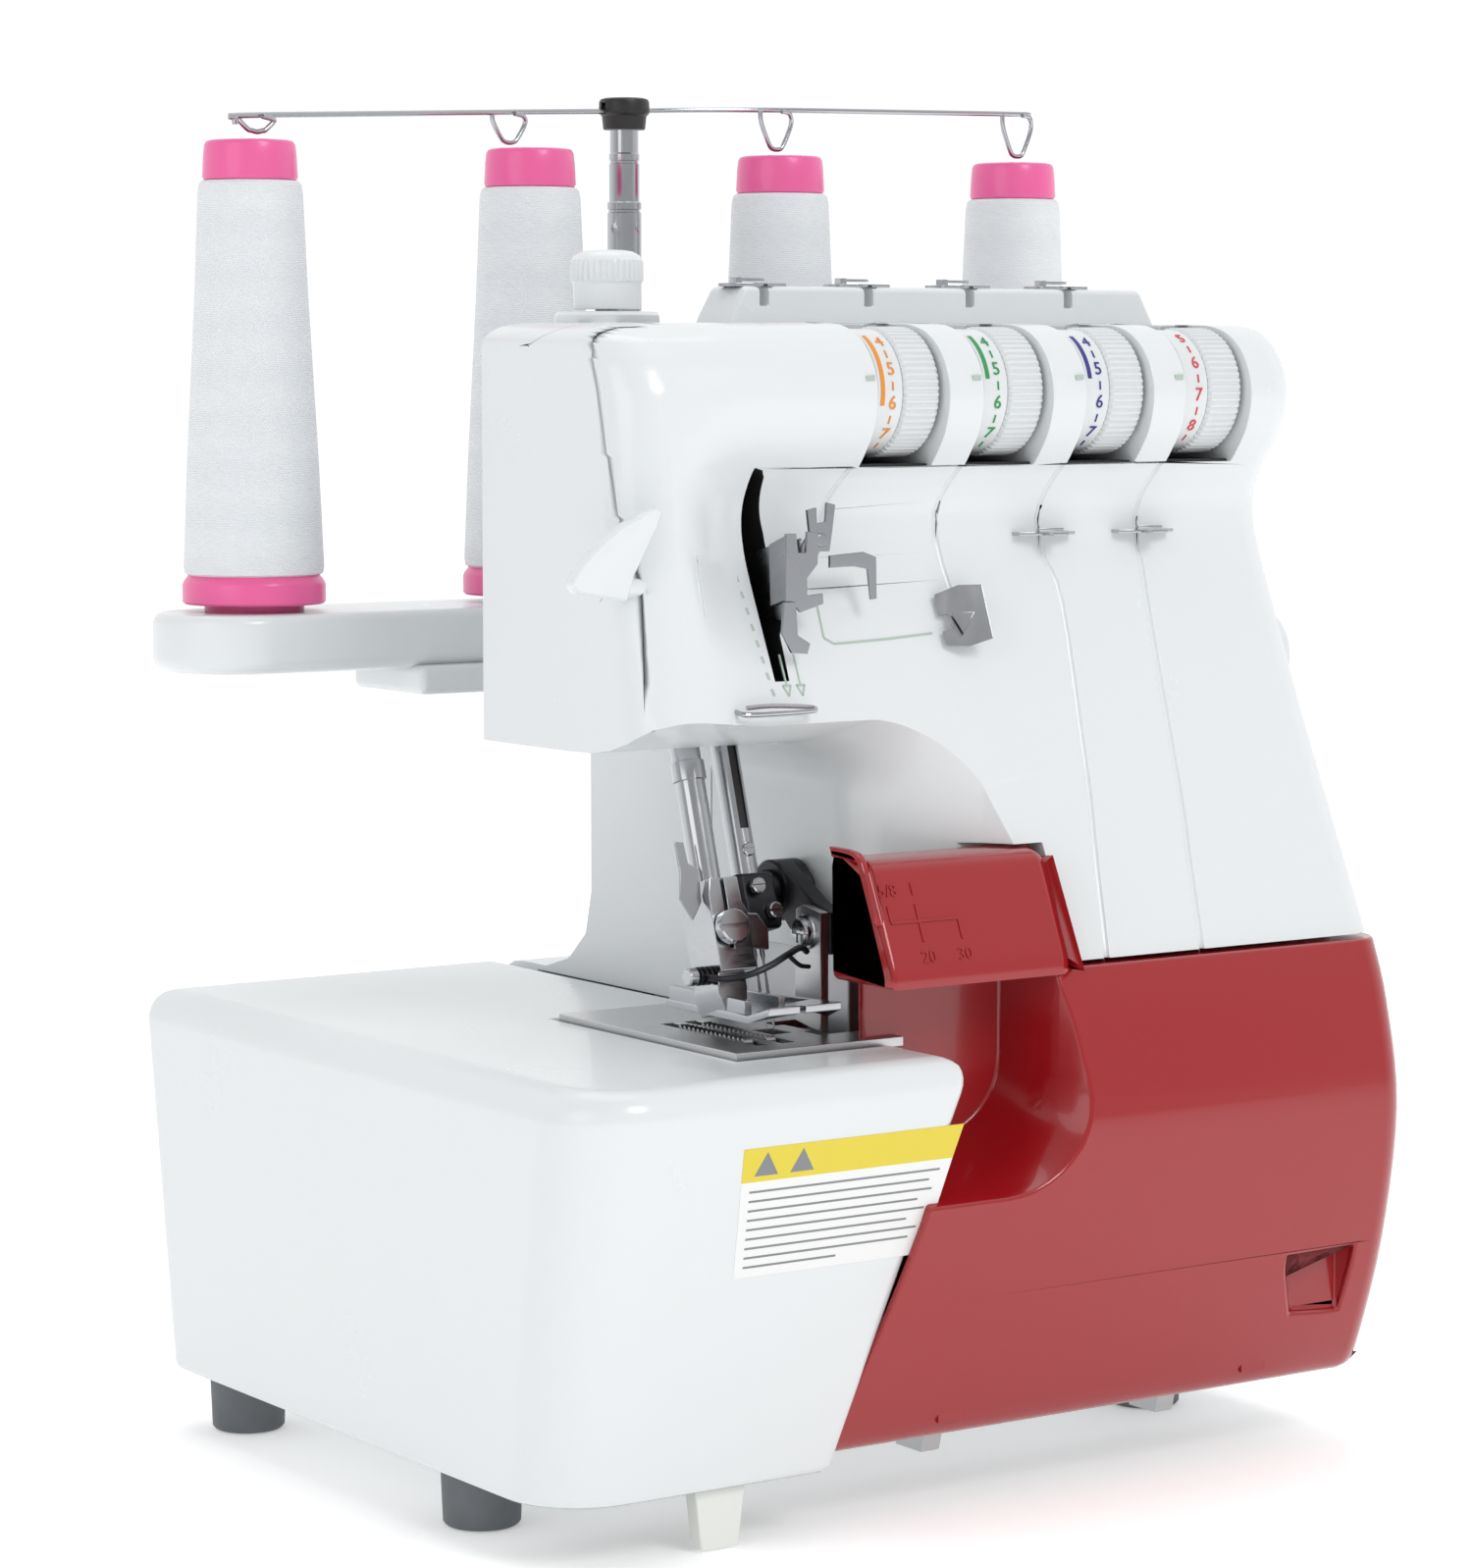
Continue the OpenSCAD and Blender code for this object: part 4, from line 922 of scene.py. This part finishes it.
fit(boss, "machine", white_plastic)

# Presser lifter. A white lever on a pin in the head, its broad paddle curving out of the slot, whose black
# walls are painted shade.
paddle = loft("lifter_paddle", [[at(x, y + off, z) for x, y, z in (
    (28, -25, 230.6), (24, -26, 231.2), (18, -27.5, 232.2), (11.5, -28.5, 233.2), (9.4, -29.2, 235.4),
                                                                   (10.6, -30, 238.6),
    (15, -31.2, 243.8), (21, -32.6, 249), (27, -34, 252.6), (30.6, -34.8, 253.8), (32, -34.8, 252.6),
                                                                   (31.2, -33.4, 248.6),
    (28.8, -31.5, 243), (28, -28.6, 237.6))] for off in (0.0, 2.2, 4.6)])
soften(paddle, 1.0, 50, 3)
lever_arm = slab("lever_arm", [(6 - 3.4, 213.5 - 3), (6 + 3, 213.5 + 3), (-20, 238), (-27, 233)], "x", 32.6,
                 36)
pin = turned("lever_pin", "x", (6, 213.5), [(33, 3), (53, 3)], 24)
bridge = turned("lever_bridge", "x", (-23.4, 234), [(24, 2.4), (36, 2.4)], 20)
fit(join("presser_lifter", [paddle, lever_arm, pin, bridge], white_plastic), "lifter", white_plastic,
    "presser_lifter_lever")

# Front thread guides. Small plates pressed from bright steel and snapped into the cover: two flat looper
# guides, a bent guide with a folded tooth for the needle threads, and a wire guide under the head.
plates = []
for x in (156.5, 190.0):
    y = face_y(244)
    ledge = slab("looper_guide", [(x, y + 4), (x, y - 3.2), (x + 6.5, y - 4.6), (x + 7.2, y - 8.6),
                                  (x + 12.2, y - 8.8), (x + 12.6, y - 4.8),
                                  (x + 18.6, y - 3.4), (x + 19.2, y + 4)], "z", 243.6, 244.5)
    tongue = slab("guide_tongue", [(x + 4.5, y - 6.0), (x + 11.5, y - 7.4), (x + 11.5, y - 6.4),
                                   (x + 4.5, y - 4.6)], "z", 244.9, 245.6)
    plates.append(join("looper_guide", [ledge, tongue]))
plate = slab("tooth_plate", [(-6.4, -7.0), (-0.4, -8.4), (6.2, -7.4), (6.4, 7.2), (0.4, 8.2), (-6.4, 6.8),
                             (-6.4, 1.2), (-3.6, 1.0),
                             (-3.6, -3.0), (-6.4, -3.2)], "y", -0.5, 0.5)
tooth = slab("tooth", [(-3.4, 0.8), (2.6, -0.2), (-1.4, -5.2)], "y", -2.6, -1.6)
turn_out = (Matrix.Translation(at(131.4, face_y(224) - 4.6, 224)) @ Matrix.Rotation(radians(-22), 4, "X")
            @ Matrix.Rotation(radians(-28), 4, "Z") @ Matrix.Translation(-front_left_foot))
tooth_plate = join("needle_thread_guide", [plate, tooth])
tooth_plate.data.transform(turn_out)
plates.append(tooth_plate)
plates.append(rod("wire_guide", [(56.6, -28, 203.2), (56.2, -31.6, 202.6), (57.4, -33.6, 202.2),
                                 (66, -33.8, 202.2), (76.4, -33.8, 202.4),
                                 (78.2, -33.2, 202.6), (77.8, -31.6, 203.2), (66, -31.9, 204.0),
                                 (58.4, -31.9, 203.8)], 0.6, 10))
for plate in plates[:-1]:
    soften(plate, 0.16, 40)
fit(join("front_thread_guides", plates, chrome), "machine", chrome, "front_thread_guides")

path_print = []


def printed_line(points, wide=0.45):
    """A thin printed line on the front face."""
    for (x0, z0), (x1, z1) in zip(points, points[1:]):
        run = Vector((x1 - x0, z1 - z0)).normalized() * wide / 2
        side_x, side_z = -run.y, run.x
        corners = [(x0 + side_x, z0 + side_z), (x0 - side_x, z0 - side_z), (x1 - side_x, z1 - side_z),
                   (x1 + side_x, z1 + side_z)]
        path_print.append(loft("line", [
            [at(a, face_y(b) + lift, b) for a, b in corners] for lift in (0.3, -0.13)]))


printed_line([(89.5, 228), (89.2, 219.6), (92.0, 218.0), (108, 218.6), (123.4, 219.6)], 0.6)
for z in range(206, 250, 4):
    printed_line([(65.6 + (250 - z) * 0.1, z), (65.4 + (248.4 - z) * 0.1, z + 1.7)], 0.8)
for x in (74.4, 78.6):
    printed_line([(x, 216), (x, 208)], 0.45)
    printed_line([(x - 1.2, 208.4), (x, 205.8), (x + 1.2, 208.4), (x - 1.2, 208.4)], 0.5)
fit(join("thread_path_print", path_print), "machine", pale_green, slot="white_plastic")

# Take-up hooks. Bright steel plates screwed to a carrier on the needle bar; they reach out through the slot
# in the front cover and pull up the needle and looper threads.
hooks = [
    slab("upper_plate", [(82.6, 252), (83.4, 246), (80.5, 243), (80.5, 238.5), (84.5, 238.5), (86.5, 241.5),
                         (89.5, 241.5), (90.4, 247),
                         (91.2, 253.2), (88.6, 253.8), (88.2, 249), (85.6, 248.6), (85.4, 252.6)], "y", -23.4,
         -22.4),
    slab("upper_web", [(-23.0, 240), (-14.2, 238), (-13.8, 241.6), (-22.4, 245)], "x", 80.6, 81.6),
    slab("hook_arm", [(88.6, 240.5), (88.6, 237.4), (96, 237.6), (100.4, 236.8), (101.4, 229), (103.2, 229.2),
                      (103.0, 239.8), (99, 241.2)],
         "y", -24.8, -23.9),
    slab("lower_plate", [(73.4, 246.4), (76.4, 246.4), (77, 241.6), (79.4, 241.6), (79.8, 246.8),
                         (83.2, 246.4), (83, 238.6), (79.8, 235.2),
                         (79.8, 230.8), (84.6, 231.2), (84.8, 228.6), (77.8, 226.6), (75.2, 229.4),
                         (73.2, 229.6)], "y", -27.4, -26.4),
    slab("lower_fold", [(-27.2, 230), (-20.5, 228), (-20.0, 243.5), (-27.2, 246)], "x", 73.2, 74.2),
    slab("tail_plate", [(72.2, 229.4), (75.8, 229.4), (76.4, 221), (80.2, 218.8), (79.4, 216.2),
                        (74.6, 216.6), (71.6, 221.8)],
         "y", -28.2, -27.3),
    turned("rivet", "y", (86.6, 244.4), [(-24.2, 1.5), (-23.9, 1.8), (-23.2, 1.8)], 20)]
carrier = slab("carrier", [(8.5, 228), (8.5, 236), (-20.5, 243.6), (-26.4, 240), (-26.4, 224), (-20, 225)],
               "x", 74.4, 76.2)
collar = turned("collar", "z", (0, 0), [(0, 6.0), (0.6, 6.4), (7.4, 6.4), (8, 6.0)], 32)
lean = radians(16.5)
lean_matrix = Matrix.Translation(at(75.2, -18, 120)) @ Matrix.Rotation(-lean, 4, "X")


def lean_to(piece, matrix=lean_matrix):
    """Stands a piece drawn about the foot point on the leaning bars' own axis."""
    piece.data.transform(matrix @ Matrix.Translation(-front_left_foot))
    return piece


collar.data.transform(Matrix.Translation(Vector((0, 0, 112)) * mm))
hooks += [carrier, lean_to(collar)]
for hook in hooks:
    soften(hook, 0.14, 40)
hook_steel = bright("hook_steel", (0.36, 0.37, 0.39), 0.24, scale=400.0)
fit(join("take_up_hooks", hooks, hook_steel), "needle_drive", hook_steel, "take_up_levers", slot="steel")

# Needle drive. A polished bar with a long milled flat leans back into the head; the blackened clamp block on
# its end holds two needles, each with its own slotted screw.
bar_steel = bright("bar_steel", (0.50, 0.51, 0.53), 0.2, (1, 1, 6), scale=260.0)
needle_bar = turned("needle_bar", "z", (0, 0), [(34, 3.1), (34.4, 3.5), (148, 3.5)], 40)
# The flat's cut faces are painted black: painted shade along the flat.
combine(needle_bar, paint(block("milled_flat", (-1.3, -5, 52), (1.3, -2.7, 100)), black_plastic))
screw = turned("bar_screw", "y", (0, 46.5), [(-4.1, 1.5), (-3.9, 1.8), (-3.0, 1.8)], 20)
combine(screw, block("driver_slot", (-2, -5, 46.2), (2, -3.7, 46.8)))
fit(lean_to(join("needle_bar", [needle_bar, screw], bar_steel)), "needle_drive", bar_steel, "needle_bar",
    slot="steel")
clamp = loft("needle_clamp", [[at(a, b, z) for a,
                               b in ((-6.6 + e, -3.6), (-4.4, -5.6 + e), (4.6, -5.6 + e), (6.8 - e, -3.4),
                                     (6.8 - e, 4.2),
                                                         (5.6, 5.0), (-5.4, 5.0), (-6.6 + e, 4.0))]
                              for z, e in ((25.6, 1.2), (26.4, 0.3), (33, 0), (34, 0.5), (39.4, 0.5),
                                           (40.2, 1.4))])
soften(clamp, 0.3, 30)
fit(lean_to(clamp), "needle_drive", blackened_steel, "needle_clamp")
heads = []
for x, z in ((2.6, 29.8), (-1.4, 36.4)):
    head = turned("needle_screw", "y", (x, z), [(-8.0, 1.7), (-7.7, 2.05), (-6.0, 2.05), (-5.2, 1.2)], 24)
    heads.append(combine(head, block("driver_slot", (x - 2.4, -9, z - 0.3), (x + 2.4, -7.3, z + 0.3))))
fit(lean_to(join("needle_screws", heads, bar_steel)), "needle_drive", bar_steel, "needle_screws",
    slot="steel")
both = []
for x in (-1.2, 1.2):
    needle = turned("needle", "z", (x, 0), [(0, 0.06), (2.2, 0.34), (4, 0.44), (18, 0.46), (19.5, 0.8),
                                            (30, 0.8)], 16)
    both.append(combine(needle, block("eye", (x - 0.16, -1, 4.2), (x + 0.16, 1, 6.4))))
fit(lean_to(join("needles", both, chrome)), "needle_drive", chrome, "needles")

# Presser. A chromed bar carries a steel holder clamped by a large slotted screw, and the foot with its sole,
# sprung ankle and black wire that keeps the threads down in front of the needles.
presser_matrix = Matrix.Translation(at(60, -22.8, 120)) @ Matrix.Rotation(-lean, 4, "X")
presser_bar = turned("presser_bar", "z", (0, 0),
                     [(24, 3.3), (24.5, 3.75), (66, 3.75), (66.2, 4.3), (71, 4.3), (71.2, 3.75), (172, 3.75)],
                     40)
fit(lean_to(presser_bar, presser_matrix), "presser", chrome, "presser_bar")
holder = slab("foot_holder", [(-4.6, 16.4), (6.4, 16.4), (6.4, 31), (5.0, 33.4), (4.8, 40), (-3.6, 40),
                              (-4.6, 36)], "y", -7, 6.6)
combine(holder, block("clamp_slit", (-0.5, -9, 22), (0.5, -2, 42)))
arm_plate = slab("spring_arm", [(-8.4, 30), (-5, 34.5), (-4.4, 43), (-7.2, 44.6), (-7.6, 50), (-10.4, 50.4),
                                (-10.2, 42), (-11.4, 36)],
                 "y", -4.2, -3.2)
fork = slab("needle_finger", [(6.4, 22), (12.6, 21), (13.4, 26), (10.8, 30.5), (6.4, 31)], "y", -4.6, -3.4)
ankle = slab("ankle", [(-4, 6.5), (2.6, 6.5), (3.6, 12), (3.6, 16.4), (-4.4, 16.4), (-5.4, 11)], "y", -5.4, 6)
for part in (holder, arm_plate, fork, ankle):
    soften(part, 0.35, 40)
upper_parts = lean_to(join("foot_holder", [holder, arm_plate, fork, ankle], bar_steel), presser_matrix)
sole = loft("foot_sole", [[at(a, b, z + (2.6 if b < -38 else 0)) for a,
                           b in ((56, 1), (55.6, -36), (57, -43.4), (79, -43.4), (80.6, -36), (80.6, 1))]
                          for z in (125.6, 127.6)])
combine(sole, block("needle_gap", (72.2, -30, 120), (78.6, -14, 140)))
combine(sole, block("tongue_slit", (66.6, -60, 120), (68.2, -32, 140)))
rails = [block("foot_rail", (56.2, -34, 127.4), (58.4, 0, 131.2)),
         block("foot_rail", (69.4, -30, 127.4), (71.4, 0, 130.6))]
for part in [sole] + rails:
    soften(part, 0.3, 40)
foot = join("presser_foot", [upper_parts, sole] + rails, bar_steel)
fit(foot, "presser", bar_steel, "presser_foot", slot="steel")
clamp_screw = turned("foot_screw", "y", (-0.6, 27),
                     [(-11, 3.9), (-10.6, 4.4), (-8.2, 4.4), (-7.9, 3.0), (-6, 3.0)], 32)
combine(clamp_screw, block("driver_slot", (-6, -12, 26.5), (5, -10, 27.5)))
fit(lean_to(clamp_screw, presser_matrix), "presser", chrome, "foot_screw")
spring = [rod("foot_wire", [(55.6, -16, 137), (53.2, -20, 136.4), (52.4, -25, 136.2), (54, -30, 136.4),
                            (58.6, -33.2, 137.6), (64, -34, 139.4),
                            (70, -33, 141.6), (76, -30, 142.6), (80, -27, 141)], 0.85, 10)]
spring.append(rod("foot_wire", [(70, -33, 141.6), (74, -32.4, 138.6), (78.6, -30, 137.6)], 0.6, 8))
for k in range(6):
    spring.append(turned("coil", "x", (-21.0, 136.2),
                         [(50.4 + 1.5 * k, 1.7), (50.7 + 1.5 * k, 2.4), (51.3 + 1.5 * k, 2.4),
                          (51.6 + 1.5 * k, 1.7)], 20))
tip = turned("pin_tip", "x", (-21.0, 136.2), [(47.6, 1.9), (48.0, 2.3), (50.0, 2.3), (50.2, 1.6), (60, 1.6)],
             20)
fit(join("foot_wire_guide", spring + [paint(tip, bar_steel)], blackened_steel), "presser", blackened_steel,
    "foot_wire_guide")

# Knife. The upper knife is screwed to a blackened arm clamped on a round shaft that comes out of the column;
# the lower knife stands in the bed beside the stitch plate.
shaft = turned("knife_shaft", "x", (2, 153), [(84, 4.6), (84.6, 5.5), (100, 5.5), (150, 5.5)], 40)
combine(shaft, turned("end_bore", "x", (2, 153), [(83, 2.0), (85.4, 2.0)], 6))
fit(shaft, "upper_knife", blackened_steel, "knife_shaft")
arm_body = slab("knife_arm", [(6, 148), (9.6, 153), (6, 160.4), (-1, 160.8), (-10, 156), (-18, 151.6),
                              (-24.6, 150), (-25, 139.2), (-12, 139),
                              (-4, 146)], "x", 89, 94)
hub = turned("knife_hub", "x", (2, 153), [(88.6, 7.4), (89, 8), (97, 8), (97.4, 7.4)], 40)
lug = turned("knife_lug", "x", (-18, 144.6), [(93, 6.4), (97.6, 6.4), (98, 5.8)], 40)
for part in (arm_body,):
    soften(part, 0.6, 40)
fit(join("knife_arm", [arm_body, hub, lug], blackened_steel), "upper_knife", blackened_steel, "knife_arm")
blade = slab("upper_knife_blade", [(-24, 119.2), (-13, 121.2), (-12.6, 127), (-13, 150), (-16, 151.4),
                                   (-24, 150)], "x", 86.4, 89)
soften(blade, 0.3, 40)
fit(paint(blade, steel), "upper_knife", steel, "upper_knife")
washer = turned("washer", "x", (-18, 144.6), [(85.6, 4.2), (85.8, 4.5), (86.4, 4.5)], 32)
head = turned("knife_screw", "x", (-18, 144.6), [(83.4, 2.2), (83.6, 3.2), (84.2, 3.7), (85.7, 3.8)], 32)
combine(head, block("cross", (82, -20.6, 144.1), (84.2, -15.4, 145.1)))
combine(head, block("cross", (82, -18.5, 142.0), (84.2, -17.5, 147.2)))
fit(join("knife_screw", [washer, head], chrome), "upper_knife", chrome, "knife_screw")
refine("stitch_plate", steel, 0.25)
refine("feed_dogs", steel, 0.1, 50)
refine("upper_looper", chrome, 0.3)
refine("lower_looper", chrome, 0.2)

# Floor, backdrop, studio light and camera. A seamless white sweep, a large soft key from the upper left
# and two weak fills.
def stage_finish(name, colour):
    finish, place = start_finish(name, 0.9)
    glow = finish.node_tree.nodes["Principled BSDF"].inputs
    glow["Emission Color"].default_value = (1, 1, 1, 1)
    glow["Emission Strength"].default_value = 0.3
    return feed(finish, Base_Color=between(noise(place, 3.0), [0.985 * c for c in colour], colour))


clear()
bpy.ops.mesh.primitive_plane_add(size=14, location=(0, 0, -0.0002))
floor = paint(bpy.context.object, stage_finish("studio_floor", (0.93, 0.93, 0.93)))
floor.name = "studio_floor"


def soft_light(name, place, target, size, power, colour=(1, 1, 1)):
    lamp = bpy.data.lights.new(name, "AREA")
    lamp.shape = "DISK"
    lamp.size = size
    lamp.energy = power
    lamp.color = colour
    holder = bpy.data.objects.new(name, lamp)
    bpy.context.collection.objects.link(holder)
    holder.location = place
    holder.rotation_euler = (Vector(target) - Vector(place)).to_track_quat("-Z", "Y").to_euler()


soft_light("key", (0.2, -1.9, 1.7), (0, 0, 0.15), 1.0, 17)
soft_light("left_fill", (-2.0, -0.6, 0.9), (0, 0, 0.2), 1.4, 6)
soft_light("top_light", (0.2, 0.5, 2.2), (0, 0, 0.2), 1.6, 7)
bpy.context.scene.view_settings.view_transform = "Standard"
world = bpy.data.worlds.new("studio")
bpy.context.scene.world = world
world.use_nodes = True
backdrop = world.node_tree.nodes["Background"]
heading = Signal(world.node_tree, world.node_tree.nodes.new("ShaderNodeTexCoord").outputs["Generated"])
behind = heading.node("VectorMath", {"operation": "DOT_PRODUCT"}, {0: heading, 1: (0.56, 0.82, 0.0)}, 1)
bright_side = behind.node("MapRange", {"clamp": True}, {"Value": behind, "From Min": -0.5, "From Max": 0.35,
                                                        "To Min": 0.52, "To Max": 1.05})
world.node_tree.links.new(bright_side.socket, backdrop.inputs["Strength"])
backdrop.inputs["Color"].default_value = (0.985, 0.993, 1, 1)

lens = bpy.data.cameras.new("camera")
lens.lens = 102.9
lens.sensor_width = 36
camera = bpy.data.objects.new("camera", lens)
bpy.context.collection.objects.link(camera)
camera.location = (-0.6996, -0.9833, 0.290)
camera.rotation_euler = (radians(84.57), 0, radians(-34.3))
bpy.context.scene.camera = camera
